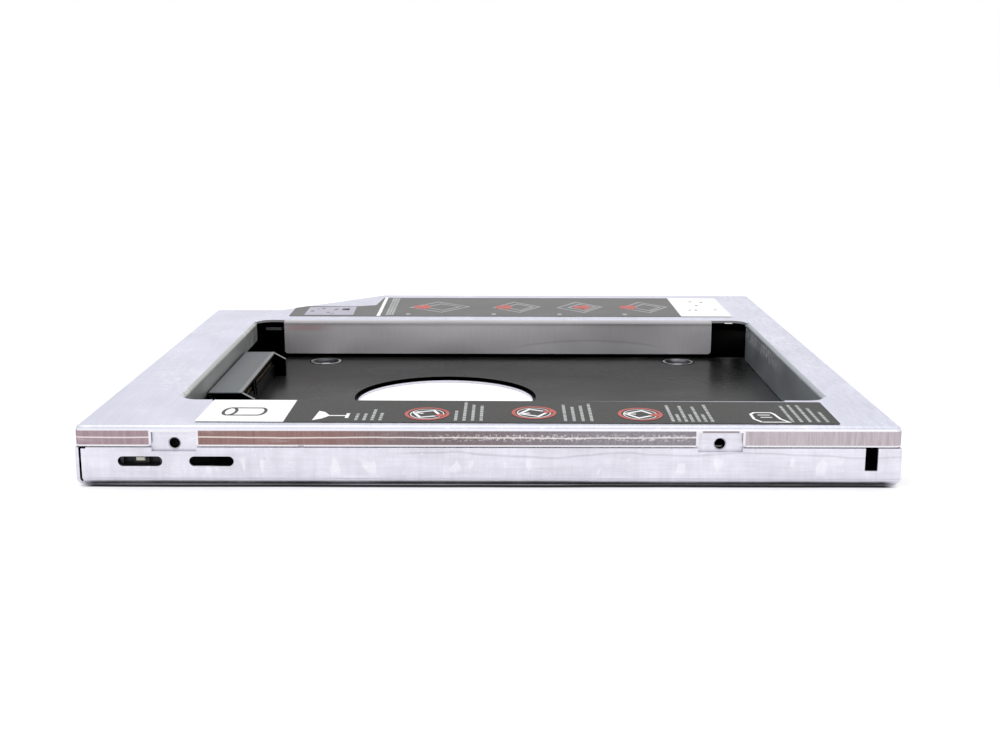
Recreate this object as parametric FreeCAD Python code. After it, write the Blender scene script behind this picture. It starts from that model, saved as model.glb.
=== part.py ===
"""Optical-bay drive caddy: a low metal box the size of a slim disc drive, with a bay for a 2.5 inch drive.

Frame: +X towards the front (bezel end), +Y towards the side with the cut corner, +Z up. The origin is under
the middle of the body, on the plane that it lies on. Units are millimetres.
"""
import FreeCAD
import Part

import math
import os

V = FreeCAD.Vector

# ---------------------------------------------------------------- driving dimensions
body_length = 126.1       # X, rear edge to front edge
body_width = 128.0        # Y
body_height = 9.5         # Z, without the labels
sheet = 0.5               # both pressed sheets
lap_gap = 0.05            # play between the cover's flanges and the shell's walls
shell_bend = 1.3          # outer radius of the shell's bottom bends
cover_bend = 0.8          # outer radius of the cover's bends
cover_corner = 1.0        # outer radius of its upright corners
flange_depth = 3.2        # the cover's outer flanges, from the top face down
flange_gap = 0.2          # below the flanges, above the shell's ledge
flange_corner = 0.7       # rounding of a flange's lower corners
tab_lip = 1.0             # what is left of a flange over a tapped hole, from the top face down
pry_notch_setback = 34.05     # small notch in the near flange's lower edge, from the rear edge
pry_notch_length = 0.8
pry_notch_height = 0.2

notch_length = 14.5       # cut rear corner: the straight part along X
notch_depth = 22.0        # cut rear corner: its depth along Y, and its 45 degree side

rear_band = 12.05         # rim widths round the window
front_band = 7.45
near_band = 17.2
far_band = 35.6
window_corner = 3.0
corner_relief = 2.6       # the side flanges stop this far from the window's corners
long_flange_rear = 5.5    # the near and far window flanges start this far from the window's ends
long_flange_front = 7.1
long_flange_foot = 2.0    # heights of the lower edges of the window's flanges
rear_flange_foot = 5.4
front_flange_gap = 0.15   # above the liner

liner = 0.65              # black liner on the floor
liner_margin = 0.8        # from the shell's walls
liner_play = 0.25         # round what stands through it
liner_push_margin = 0.6   # its push-out hole is larger than the shell's by this, all round

drive_width_pitch = 61.72     # a 2.5 inch drive's bottom screw holes
drive_length_pitch = 76.6
drive_hole_setback = 14.0     # first pair of holes, from the drive's connector end
drive_screw_hole_r = 1.7
drive_boss_r = 3.3            # raised ring that the drive rests on, round each screw hole
drive_boss_rise = 0.1         # above the liner
drive_from_near = 57.1        # drive's middle, from the body's near edge
drive_play = 1.1              # window's rear edge to the drive's connector end
drive_key_offset = 6.4        # from the drive's centreline to the socket's key
push_hole_r = 16.9
push_hole_setback = 41.2      # its middle, from the drive's connector end
push_hole_shift = 1.8         # its middle, from the drive's centreline towards the near side

side_hole_r = 0.8             # tapped M2
side_hole_height = 6.63
side_hole_sink = 0.18
side_hole_collar = 0.75
side_hole_collar_r = 1.35
side_hole_rear = 15.05        # from the rear edge
side_hole_pitch = 83.3
tab_half = 3.4                # half the gap in the flange round a tapped hole
tab_floor = 5.5               # lower edge of the pressed pocket there
rear_hole_setbacks = (9.0, 32.0)    # tapped holes in the rear wall, from the cut corner's edge

bezel_slot_length = 1.95
bezel_slot_height = 3.55
bezel_slot_setback = 3.6      # from the front edge
bezel_way_width = 5.6         # gaps in the front wall for the bezel's hooks
bezel_way_height = 3.6
bezel_way_drop = 0.55         # below the ledge

slot_length = 6.8             # long slots in the near wall
slot_height = 1.55
slot_pitch = 10.9
slot_level = 3.92             # their middle
slot_setback = 9.8            # middle of the first long slot, and of the switch, from the rear edge
slit_width = 0.35             # slits at the rear wall's ends
slit_chip = 1.1               # length of the small gap at a slit's top
slit_chip_depth = 0.2

recess = 0.6                  # pressed recesses for the cover screws
screw_head_r = 1.9
screw_head = 0.5
screw_r = 1.0
screw_play = 0.2
screw_length = 3.4
head_play = 0.5
post_r = 2.1
post_rear_setback = 44.05     # posts of the side rims, from the rear, front and far edges
post_front_setback = 17.0
post_far_setback = 15.0
corner_post = (5.4, 4.2)      # post by the cut corner, from the rear edge and the corner's edge
bore_end_gap = 0.4            # a threaded bore is deeper than its screw by this
thread_play = 0.05

board = 0.8                   # circuit board
board_height = 2.4            # its lower face
board_margin = 0.6            # from the shell's walls
board_corner = 0.8
board_past_socket = 3.0       # it goes on past the drive socket by this
board_screw_head_r = 1.6
board_screw_head = 0.9
board_screw_near = (4.5, 4.8)     # first board screw, from the body's rear and near edges
board_screw_far = (5.6, 15.8)     # second one, from the rear edge and from the socket's key
standoff_r = 1.9
standoff_floor = 0.3          # left below its bore

contact_pitch = 1.27
host_signal_pitch = 1.09
power_pitch = 1.0             # the host plug's power side
contact_width = 0.6
contact_sheet = 0.15

socket_depth = 5.3            # drive socket: the part that enters the drive
socket_top = 6.0
socket_lip = 3.8              # height of its mouth's lower edge
socket_lip_reach = 0.15       # the lower edge stands out past the roof by this
socket_roof = 0.6
socket_hood = 0.8              # its roof reaches back over the board
socket_back = 0.9             # back wall of its slots
socket_near = 13.3            # body length on each side of the key
socket_far = 23.6
socket_wall = 1.1
socket_round = 0.15
socket_contact_level = 4.55
socket_contact_setback = 0.1
socket_ear = 2.2              # sloped guides at its ends, in front of the mouth
socket_ear_width = 0.9
socket_ear_heights = (5.8, 4.6)
key_half = 1.4
key_gap = 0.6                 # half width of the gap in the lip at the key
key_gap_depth = 1.6
foot_cut = (1.4, 1.0)         # the slots' L-shaped ends: width and depth
first_signal = 3.2            # first contact on each side of the key
first_power = 2.6

plug_from_near = 23.0         # host plug: its middle, from the body's near edge
plug_base = 3.5
plug_tongue = 3.4
plug_arm = 1.6
plug_arm_step = 0.3           # the arms are thinner than the body by this, above and below
plug_arm_lead = 0.35
plug_gap = 1.2
plug_signal = 9.0
plug_power = 7.2
plug_key = 2.2
plug_height = 3.6
plug_setback = 0.6            # tongue tips behind the body's rear edge
plug_wall_gap = 1.2           # gap in the rear wall past each end of the plug
plug_board_gap = 0.1
tongue_sheet = 1.2
tongue_key = 0.8              # the tongues' L-shaped ends reach down by this

clip_sheet = 0.25             # hold-down clips
clip_foot = 1.2
clip_width = 1.4
clip_height = 1.5

switch_length = 6.7           # mode switch
switch_depth = 2.7
switch_height = 1.7
switch_wall = 0.2
switch_lug_xs = (-2.25, -0.75, 0.75, 2.25)
switch_lug_width = 0.4
slider_depth = 1.1
slider_play = 0.06
knob_length = 1.3
knob_height = 0.6
knob_rise = 1.03              # knob's middle above the board
knob_travel = 2.0             # each way
knob_reach = 0.3              # behind the wall's outer face
knob_play = 0.15
knob_round = 0.12

ceramic_size = (1.6, 0.8, 0.8, 0.3)      # length, width, height, metal end
ceramic_setback = 3.6         # from the drive socket's back
ceramic_start = -10.0         # from the key
ceramic_pitch = 3.6
ceramic_count = 6
resistor_size = (1.6, 0.8, 0.45, 0.3)
resistor_setback = 2.0        # from the ceramic capacitors' line
resistor_start = -9.0
resistor_pitch = 3.0
resistor_count = 5
tantalum_size = (3.5, 2.8, 1.9, 0.35)
tantalum_setback = 1.2
tantalum_place = 11.5
chip_setback = 4.4            # from the body's rear
chip_place = -4.0             # from the key
chip_width = 3.2
chip_length = 4.0
chip_height = 1.3
chip_lift = 0.12              # body clear of the board
chip_slope = 0.2
lead_pitch = 1.0
lead_width = 0.36
lead_shoulder = 0.55          # where a lead leaves the chip, above the board
lead_root = 0.2               # inside the chip
lead_reach = 0.6
lead_toe = 1.0

label = 0.1
label_margin = 0.25           # from the start of a bend
label_corner = 0.5
label_rear = 17.9             # label ends, from the body's rear and front edges
label_front = 9.15
near_label_width = 14.25
near_label_gap = 0.25         # from the start of the window's bend to its far edge, at its middle
near_label_tilt = -0.55       # degrees, as it is stuck on
far_label_gap = 4.8           # from the window
far_label_setback = 5.1       # from the far edge
far_label_step = (19.2, 13.2)     # its step by the cut corner, from its own rear-near corner
far_label_slope = (1.0, 1.5)
far_label_shoulder = 4.7

# ---------------------------------------------------------------- places that follow
hx, hy = body_length / 2, body_width / 2
cover_under = body_height - sheet
joggle = sheet + lap_gap                    # the shell's upper walls stand in by this
ledge = body_height - flange_depth - flange_gap
flange_low = body_height - flange_depth
wall_top = cover_under - (cover_bend - sheet)           # up to the foot of the cover's inner bend
liner_top = sheet + liner
board_top = board_height + board
dimple_top = recess + sheet
window = (-hx + rear_band, hx - front_band, -hy + near_band, hy - far_band)
drive_rear = window[0] + drive_play         # connector end of a seated drive
drive_centre_y = -hy + drive_from_near
push_hole = (drive_rear + push_hole_setback, drive_centre_y - push_hole_shift)
pry_notch_x = -hx + pry_notch_setback
key_y = drive_centre_y - drive_key_offset
drive_holes = [(drive_rear + drive_hole_setback + i * drive_length_pitch,
                drive_centre_y + (j - 0.5) * drive_width_pitch) for i in (0, 1) for j in (0, 1)]
side_hole_xs = (-hx + side_hole_rear, -hx + side_hole_rear + side_hole_pitch)
notch_y = hy - notch_depth
rear_hole_ys = [notch_y - setback for setback in rear_hole_setbacks]
diagonal = hy - (-hx + notch_length + notch_depth)      # y - x along the 45 degree side
slot_x = -hx + slot_setback
knob_z = board_top + knob_rise
plug_centre_y = -hy + plug_from_near
plug_width = 2 * plug_arm + 2 * plug_gap + plug_signal + plug_power + plug_key
plug_face = -hx + plug_setback + plug_tongue            # where its tongues start
plug_back = plug_face + plug_base
post_places = [(x, y) for y in (hy - post_far_setback, -hy + near_band / 2)
               for x in (-hx + post_rear_setback, hx - post_front_setback)]
post_places.append((-hx + corner_post[0], notch_y - corner_post[1]))
board_screw_places = [(-hx + board_screw_near[0], -hy + board_screw_near[1]),
                      (-hx + board_screw_far[0], key_y + board_screw_far[1])]


# ---------------------------------------------------------------- helpers
def box(x0, x1, y0, y1, z0, z1):
    """A box between two pairs of faces on each axis, given in either order."""
    x0, x1 = sorted((x0, x1))
    y0, y1 = sorted((y0, y1))
    return Part.makeBox(x1 - x0, y1 - y0, z1 - z0, V(x0, y0, z0))


def rod(r, p, axis, length):
    return Part.makeCylinder(r, length, V(*p), V(*axis))


def drill(r, place, z0, z1):
    """An upright rod at a place in plan."""
    return rod(r, (*place, z0), (0, 0, 1), z1 - z0)


def outline_points(inset):
    """The body's outline, moved in by inset: a rectangle with one cut rear corner."""
    x0, x1, y0, y1 = -hx + inset, hx - inset, -hy + inset, hy - inset
    d = diagonal - inset * math.sqrt(2)
    corner_y = notch_y - inset
    return [(x0, y0), (x1, y0), (x1, y1), (y1 - d, y1), (corner_y - d, corner_y), (x0, corner_y)]


def prism(points, z0, z1):
    wire = Part.makePolygon([V(x, y, z0) for x, y in points + points[:1]])
    return Part.Face(wire).extrude(V(0, 0, z1 - z0))


def edges_at(shape, z, tolerance=1e-6):
    """Edges that lie flat at height z."""
    return [e for e in shape.Edges
            if abs(e.BoundBox.ZMin - z) < tolerance and abs(e.BoundBox.ZMax - z) < tolerance]


def upright_edges(shape, height):
    return [e for e in shape.Edges if e.BoundBox.ZLength > height * 0.9]


def square_corners(inset):
    """The four right-angled outer corners of the outline."""
    points = outline_points(inset)
    return points[:3] + points[-1:]


def body_prism(inset, z0, z1, round_z=None, radius=0.0, corner=0.0):
    """The outline from z0 to z1, with edges at round_z rounded by radius and upright corners by corner."""
    shape = prism(outline_points(inset), z0, z1)
    if corner:
        chosen = []
        for e in upright_edges(shape, z1 - z0):
            c = e.CenterOfMass
            if any(math.hypot(c.x - x, c.y - y) < 1e-6 for x, y in square_corners(inset)):
                chosen.append(e)
        shape = shape.makeFillet(corner, chosen)
    if round_z is None:
        return shape
    return shape.makeFillet(radius, edges_at(shape, round_z))


def rounded_box(x0, x1, y0, y1, z0, z1, r):
    shape = box(x0, x1, y0, y1, z0, z1)
    return shape.makeFillet(r, upright_edges(shape, z1 - z0))


def slot_y(x, z, length, height, y0, y1):
    """A long hole with round ends, through a wall that faces along Y."""
    r = height / 2
    half = length / 2 - r
    shape = box(x - half, x + half, y0, y1, z - r, z + r)
    for end in (-half, half):
        shape = shape.fuse(rod(r, (x + end, y0, z), (0, 1, 0), y1 - y0))
    return shape.removeSplitter()


def fuse_all(shapes):
    first, rest = shapes[0], shapes[1:]
    return first.fuse(rest).removeSplitter() if rest else first


def cut_all(shape, tools):
    return shape.cut(tools).removeSplitter()


def contact_set(ys, tip, bend_x, tail, z_tip, z_tail):
    """Flat contacts side by side: a blade from tip to bend_x at z_tip, a drop, and a foot at z_tail."""
    made = []
    low, high = min(z_tip, z_tail), max(z_tip, z_tail)
    bend_end = bend_x + math.copysign(contact_sheet, bend_x - tip)
    for y in ys:
        y0, y1 = y - contact_width / 2, y + contact_width / 2
        blade = box(tip, bend_end, y0, y1, z_tip, z_tip + contact_sheet)
        drop = box(bend_x, bend_end, y0, y1, low, high + contact_sheet)
        foot = box(bend_x, tail, y0, y1, z_tail, z_tail + contact_sheet)
        made.append(fuse_all([blade, drop, foot]))
    return made


PARTS = {}


def keep(name, *shapes):
    """One node: one solid, or a group of separate solids."""
    solids = [s for shape in shapes for s in shape.Solids]
    PARTS[name] = solids[0] if len(solids) == 1 else Part.makeCompound(solids)


# ---------------------------------------------------------------- pressed sheets
def tab_places():
    """(point on the outer face, inward direction, along direction) of each tapped hole."""
    tabs = [((x, -hy), (0, 1), (1, 0)) for x in side_hole_xs]
    tabs.append(((side_hole_xs[1], hy), (0, -1), (1, 0)))
    tabs += [((-hx, y), (1, 0), (0, 1)) for y in rear_hole_ys]
    return tabs


def tab_box(tab, depth0, depth1, z0, z1):
    """A box as wide as a tab, between two depths in from the outer face."""
    (px, py), (ix, iy), (ax, ay) = tab
    return box(px + ix * depth0 - ax * tab_half, px + ix * depth1 + ax * tab_half,
               py + iy * depth0 - ay * tab_half, py + iy * depth1 + ay * tab_half, z0, z1)


def rear_slit_at(y, inward):
    """Slit between the rear wall's inner face and the end of the side wall at y, down round the bend."""
    r0 = shell_bend - sheet
    r1 = r0 - slit_width
    cx, cz = -hx + shell_bend, shell_bend
    middle, end = math.radians(207), math.radians(235)
    top = ledge + flange_gap

    def at(r, angle):
        return V(cx + r * math.cos(angle), 0, cz + r * math.sin(angle))

    wire = Part.Wire([
        Part.LineSegment(V(cx - r0, 0, top), V(cx - r0, 0, cz)).toShape(),
        Part.Arc(V(cx - r0, 0, cz), at(r0, middle), at(r0, end)).toShape(),
        Part.LineSegment(at(r0, end), at(r1, end)).toShape(),
        Part.Arc(at(r1, end), at(r1, middle), V(cx - r1, 0, cz)).toShape(),
        Part.LineSegment(V(cx - r1, 0, cz), V(cx - r1, 0, top)).toShape(),
        Part.LineSegment(V(cx - r1, 0, top), V(cx - r0, 0, top)).toShape(),
    ])
    outside = y - inward * sheet
    inside = y + inward * (joggle + sheet)
    face = Part.Face(wire)
    face.translate(V(0, outside, 0))
    slit = face.extrude(V(0, inside - outside, 0))
    return slit.fuse(box(cx - r0, cx - r0 + slit_chip, outside, inside, ledge - slit_chip_depth, top))


def raised_features():
    """What is pressed up or in from the shell's sheet: screw recesses, drive bosses, tapped-hole tabs."""
    recesses = [drill(screw_head_r + head_play + sheet, place, 0, dimple_top) for place in post_places]
    bosses = [drill(drive_boss_r, place, 0, liner_top + drive_boss_rise) for place in drive_holes]
    tabs = []
    for tab in tab_places():
        (px, py), (ix, iy), _along = tab
        tabs.append(tab_box(tab, joggle, joggle + sheet, tab_floor - sheet, ledge))
        tabs.append(tab_box(tab, 0, joggle + sheet, tab_floor - sheet, tab_floor))
        start = (px + ix * joggle, py + iy * joggle, side_hole_height)
        tabs.append(rod(side_hole_collar_r, start, (ix, iy, 0), sheet + side_hole_collar))
    return recesses + bosses + tabs


def floor_holes():
    cuts = [drill(push_hole_r, push_hole, -1, dimple_top)]
    for place in drive_holes:
        cuts.append(drill(drive_screw_hole_r, place, -1, dimple_top))
        cuts.append(drill(drive_boss_r - sheet, place, sheet, liner_top + 1))
    for place in post_places:
        cuts.append(drill(screw_head_r + head_play, place, -1, recess))
        cuts.append(drill(screw_r + screw_play, place, -1, dimple_top + 1))
    return cuts


def tab_holes():
    cuts = []
    reach = joggle + sheet + side_hole_collar
    for tab in tab_places():
        (px, py), (ix, iy), _along = tab
        cuts.append(tab_box(tab, -1, joggle, tab_floor, ledge))
        cuts.append(rod(side_hole_r, (px - ix, py - iy, side_hole_height), (ix, iy, 0), reach + 2))
        mouth = V(px + ix * joggle, py + iy * joggle, side_hole_height)
        sink = Part.makeCone(side_hole_r + side_hole_sink, side_hole_r, side_hole_sink, mouth, V(ix, iy, 0))
        cuts.append(sink)
    return cuts


def bezel_holes():
    """Upright slots in the side walls and wider gaps in the front wall, for a clip-in bezel."""
    cuts = []
    x1 = hx - bezel_slot_setback
    way_top = ledge - bezel_way_drop
    for side in (-1, 1):
        cuts.append(box(x1 - bezel_slot_length, x1, side * (hy + 1), side * (hy - joggle - sheet),
                        ledge - bezel_slot_height, ledge + lap_gap))
        wall_inside = hy - sheet - 2 * lap_gap
        cuts.append(box(hx - shell_bend, hx + 1, side * wall_inside, side * (wall_inside - bezel_way_width),
                        way_top - bezel_way_height, way_top))
    return cuts


def plug_way(depth, z0, z1):
    """Gap in the rear wall round the host plug."""
    half = plug_width / 2 + plug_wall_gap
    return box(-hx - 1, -hx + depth, plug_centre_y - half, plug_centre_y + half, z0, z1)


def make_bottom_shell():
    shell = body_prism(0, 0, ledge, 0, shell_bend)
    shell = shell.fuse(body_prism(joggle, ledge, wall_top, corner=cover_corner - sheet + lap_gap))
    hollow = body_prism(sheet, sheet, ledge - sheet, sheet, shell_bend - sheet)
    hollow = hollow.fuse(body_prism(joggle + sheet, ledge - sheet, wall_top))
    shell = fuse_all([shell.cut(hollow)] + raised_features())
    cuts = floor_holes() + tab_holes() + bezel_holes()
    for i in (0, 1):
        cuts.append(slot_y(slot_x + i * slot_pitch, slot_level, slot_length, slot_height, -hy - 1,
                           -hy + sheet + lap_gap))
    cuts.append(plug_way(joggle + sheet + lap_gap, shell_bend, body_height))
    cuts += [rear_slit_at(-hy, 1), rear_slit_at(notch_y, -1)]
    keep("bottom_shell", cut_all(shell, cuts))


def bent_flange(length, foot):
    """A window flange along +X from the origin. Its face that shows is at y = 0 and looks to -Y."""
    r, t = cover_bend, sheet
    q = math.sqrt(0.5)
    top, under = body_height, cover_under

    def p(y, z):
        return V(0, y, z)

    wire = Part.Wire([
        Part.LineSegment(p(0, foot), p(0, top - r)).toShape(),
        Part.Arc(p(0, top - r), p(r - r * q, top - r + r * q), p(r, top)).toShape(),
        Part.LineSegment(p(r, top), p(r, under)).toShape(),
        Part.Arc(p(r, under), p(r - (r - t) * q, top - r + (r - t) * q), p(t, top - r)).toShape(),
        Part.LineSegment(p(t, top - r), p(t, foot)).toShape(),
        Part.LineSegment(p(t, foot), p(0, foot)).toShape(),
    ])
    flange = Part.Face(wire).extrude(V(length, 0, 0))
    ends = [e for e in edges_at(flange, foot) if e.BoundBox.XLength < 1e-6]
    return flange.makeFillet(flange_corner, ends)


def window_flanges():
    """Each of the four flanges round the window: (solid, its strip of the top sheet)."""
    x0, x1, y0, y1 = window
    along0, along1 = x0 + long_flange_rear, x1 - long_flange_front
    short = y1 - y0 - 2 * corner_relief
    middle_y = (y0 + y1) / 2
    places = [
        (along1 - along0, long_flange_foot, 0, V(along0, y1, 0)),
        (along1 - along0, long_flange_foot, 180, V(along1, y0, 0)),
        (short, rear_flange_foot, 90, V(x0, middle_y - short / 2, 0)),
        (short, liner_top + front_flange_gap, 270, V(x1, middle_y + short / 2, 0)),
    ]
    made = []
    for length, foot, turn, place in places:
        flange = bent_flange(length, foot)
        strip = box(0, length, -1, cover_bend, cover_under - 1, body_height + 1)
        for shape in (flange, strip):
            shape.rotate(V(0, 0, 0), V(0, 0, 1), turn)
            shape.translate(place)
        made.append((flange, strip))
    return made


def round_flange_ends(cover):
    """Rounds the lower corners of the outer flanges at each tapped hole."""
    found = []
    for (px, py), _inward, (ax, ay) in tab_places():
        for sign in (-1, 1):
            x, y = px + sign * ax * tab_half, py + sign * ay * tab_half
            for e in edges_at(cover, flange_low):
                c = e.CenterOfMass
                near = abs(c.x - x) < joggle and abs(c.y - y) < joggle
                if near and e.Length < sheet * 1.5:
                    found.append(e)
    return cover.makeFillet(flange_corner, found)


def make_top_cover():
    cover = body_prism(0, flange_low, body_height, body_height, cover_bend, cover_corner)
    inside = body_prism(sheet, flange_low, cover_under, cover_under, cover_bend - sheet,
                        cover_corner - sheet)
    cover = cover.cut(inside)
    x0, x1, y0, y1 = window
    cuts = [rounded_box(x0, x1, y0, y1, cover_under - 1, body_height + 1, window_corner)]
    cuts += [tab_box(tab, -1, joggle, flange_low - 1, body_height - tab_lip) for tab in tab_places()]
    cuts.append(plug_way(joggle, flange_low - 1, cover_under))
    cuts.append(box(pry_notch_x, pry_notch_x + pry_notch_length, -hy - 1, -hy + sheet + 1,
                    flange_low - 1, flange_low + pry_notch_height))
    flanges = window_flanges()
    cuts += [strip for _flange, strip in flanges]
    cover = round_flange_ends(cut_all(cover, cuts))
    keep("top_cover", fuse_all([cover] + [flange for flange, _strip in flanges]))


def make_floor_liner():
    top = liner_top + 1
    cuts = [drill(push_hole_r + liner_push_margin, push_hole, 0, top)]
    cuts += [drill(drive_boss_r + liner_play, place, 0, top) for place in drive_holes]
    cuts += [drill(screw_head_r + head_play + sheet + liner_play, place, 0, top) for place in post_places]
    cuts += [drill(standoff_r + liner_play, place, 0, top) for place in board_screw_places]
    half = plug_width / 2 + liner_play
    cuts.append(box(-hx, plug_back + liner_play, plug_centre_y - half, plug_centre_y + half, 0, top))
    keep("floor_liner", cut_all(body_prism(sheet + liner_margin, sheet, liner_top), cuts))


# ---------------------------------------------------------------- fasteners
def cross_screw(place, z_seat, up, head_r, head, length):
    """A cross-recess screw. Its head's flat side sits at z_seat, and up is the way the shank points."""
    x, y = place
    shape = rod(head_r, (x, y, z_seat), (0, 0, -up), head)
    outer = z_seat - up * head
    shape = shape.makeFillet(min(0.25, head * 0.45), edges_at(shape, outer))
    shape = shape.fuse(rod(screw_r, (x, y, z_seat), (0, 0, up), length))
    z0, z1 = sorted([outer - up * 0.1, outer + up * head * 0.6])
    wide, narrow = head_r * 0.6, head_r * 0.14
    for ax, ay in ((wide, narrow), (narrow, wide)):
        shape = shape.cut(box(x - ax, x + ax, y - ay, y + ay, z0, z1))
    return shape.removeSplitter()


def make_cover_fasteners():
    posts, screws = [], []
    for place in post_places:
        post = drill(post_r, place, dimple_top, cover_under)
        bore_end = recess + screw_length + bore_end_gap
        posts.append(post.cut(drill(screw_r + thread_play, place, dimple_top, bore_end)))
        screws.append(cross_screw(place, recess, 1, screw_head_r, screw_head, screw_length))
    keep("cover_posts", *posts)
    keep("cover_screws", *screws)


def make_board_fasteners():
    standoffs, screws = [], []
    bore_foot = sheet + standoff_floor
    length = board_top - bore_foot - bore_end_gap
    for place in board_screw_places:
        post = drill(standoff_r, place, sheet, board_height)
        standoffs.append(post.cut(drill(screw_r + thread_play, place, bore_foot, board_height)))
        screws.append(cross_screw(place, board_top, -1, board_screw_head_r, board_screw_head, length))
    keep("board_standoffs", *standoffs)
    keep("board_screws", *screws)


# ---------------------------------------------------------------- circuit board and what is on it
def make_board():
    x0, y0 = -hx + sheet + board_margin, -hy + sheet + board_margin
    x1, y1 = drive_rear, key_y + socket_far + board_past_socket
    shape = rounded_box(x0, x1, y0, y1, board_height, board_top, board_corner)
    half = plug_width / 2 + plug_board_gap
    cuts = [box(x0 - 1, plug_back, plug_centre_y - half, plug_centre_y + half, 0, board_top + 1)]
    cuts += [drill(screw_r + screw_play, place, 0, board_top + 1) for place in board_screw_places]
    keep("adapter_board", cut_all(shape, cuts))


def socket_ear_at(x, y):
    """A sloped guide beside the drive socket's mouth."""
    high, low = socket_ear_heights
    points = [(x - socket_back, liner_top), (x + socket_ear, liner_top), (x + socket_ear, low), (x, high),
              (x - socket_back, high)]
    wire = Part.makePolygon([V(px, y, pz) for px, pz in points + points[:1]])
    return Part.Face(wire).extrude(V(0, socket_ear_width, 0))


def make_drive_socket():
    """The 7 and 15 way socket that a 2.5 inch drive slides onto. Its slots open towards the front."""
    x0, x1 = drive_rear, drive_rear + socket_depth
    y0, y1 = key_y - socket_near, key_y + socket_far
    lip_x = x1 + socket_lip_reach
    roof = socket_top - socket_roof
    hood = box(x0 - socket_hood, x1, y0, y1, roof, socket_top)
    upper = fuse_all([hood, box(x0, x1, y0, y1, socket_lip, socket_top)])
    upper = upper.makeFillet(socket_round, edges_at(upper, socket_top))
    lower = box(x0, lip_x, y0, y1, liner_top, socket_lip)
    housing = fuse_all([upper, lower, socket_ear_at(x1, y0), socket_ear_at(x1, y1 - socket_ear_width)])
    cut_x0, cut_x1 = x0 + socket_back, x1 + socket_ear + 1
    cuts = []
    for a, b in ((y0 + socket_wall, key_y - key_half), (key_y + key_half, y1 - socket_wall)):
        cuts.append(box(cut_x0, cut_x1, a, b, socket_lip, roof))
        cuts.append(box(cut_x0, cut_x1, b - foot_cut[0], b, socket_lip - foot_cut[1], roof))
    cuts.append(box(x1 - socket_wall, cut_x1, key_y - key_gap, key_y + key_gap,
                    socket_lip - key_gap_depth, roof))
    housing = cut_all(housing, cuts)
    rows = {
        "signal": [key_y - first_signal - i * contact_pitch for i in range(7)],
        "power": [key_y + first_power + i * contact_pitch for i in range(15)],
    }
    for name, ys in rows.items():
        contacts = contact_set(ys, x1 - socket_contact_setback, x0 + socket_back / 2, x0 - clip_foot,
                               socket_contact_level, board_top)
        housing = cut_all(housing, contacts)
        keep(f"drive_socket_{name}_contacts", *contacts)
    keep("drive_socket_housing", housing)
    clips = []
    for a in (y0 + clip_sheet, y1 - clip_sheet - clip_width):
        foot = box(x0 - clip_foot, x0, a, a + clip_width, board_top, board_top + clip_sheet)
        leg = box(x0 - clip_sheet, x0, a, a + clip_width, board_top, board_top + clip_height)
        clips.append(fuse_all([foot, leg]))
    keep("drive_socket_hold_downs", *clips)


def make_host_plug():
    """The 7 and 6 way plug that meets the computer's socket. Its tongues point to the rear."""
    y0, y1 = plug_centre_y - plug_width / 2, plug_centre_y + plug_width / 2
    tip = plug_face - plug_tongue
    middle = board_height + board / 2
    z0, z1 = middle - plug_height / 2, middle + plug_height / 2
    tongue_low, tongue_high = middle - tongue_sheet / 2, middle + tongue_sheet / 2
    housing = [box(plug_face, plug_back, y0, y1, z0, z1)]
    for a in (y0, y1 - plug_arm):
        arm = box(tip, plug_face, a, a + plug_arm, z0 + plug_arm_step, z1 - plug_arm_step)
        lead = [e for e in arm.Edges if abs(e.BoundBox.XMax - tip) < 1e-6]
        housing.append(arm.makeChamfer(plug_arm_lead, lead))
    signal0 = y0 + plug_arm + plug_gap
    power0 = signal0 + plug_signal + plug_key
    for a, width in ((signal0, plug_signal), (power0, plug_power)):
        housing.append(box(tip, plug_face, a, a + width, tongue_low, tongue_high))
        housing.append(box(tip, plug_face, a, a + tongue_sheet, tongue_low - tongue_key, tongue_high))
    shape = fuse_all(housing)
    rows = {
        "signal": (signal0 + (plug_signal + tongue_sheet) / 2, 7, host_signal_pitch),
        "power": (power0 + (plug_power + tongue_sheet) / 2, 6, power_pitch),
    }
    for name, (row_middle, count, pitch) in rows.items():
        ys = [row_middle + (i - (count - 1) / 2) * pitch for i in range(count)]
        contacts = contact_set(ys, tip + contact_width, plug_back - contact_width, plug_back + 1.0,
                               tongue_high, board_top)
        shape = cut_all(shape, contacts)
        keep(f"host_plug_{name}_contacts", *contacts)
    keep("host_plug_housing", shape)
    clips = []
    x0, x1 = plug_face + contact_width, plug_back - contact_width
    for side, y in ((-1, y0), (1, y1)):
        plate = box(x0, x1, y, y + side * clip_sheet, board_top, z1 - plug_arm_step)
        foot = box(x0, x1, y + side * plug_board_gap, y + side * clip_foot,
                   board_top, board_top + clip_sheet)
        clips.append(fuse_all([plate, foot]))
    keep("host_plug_hold_downs", *clips)


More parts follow.
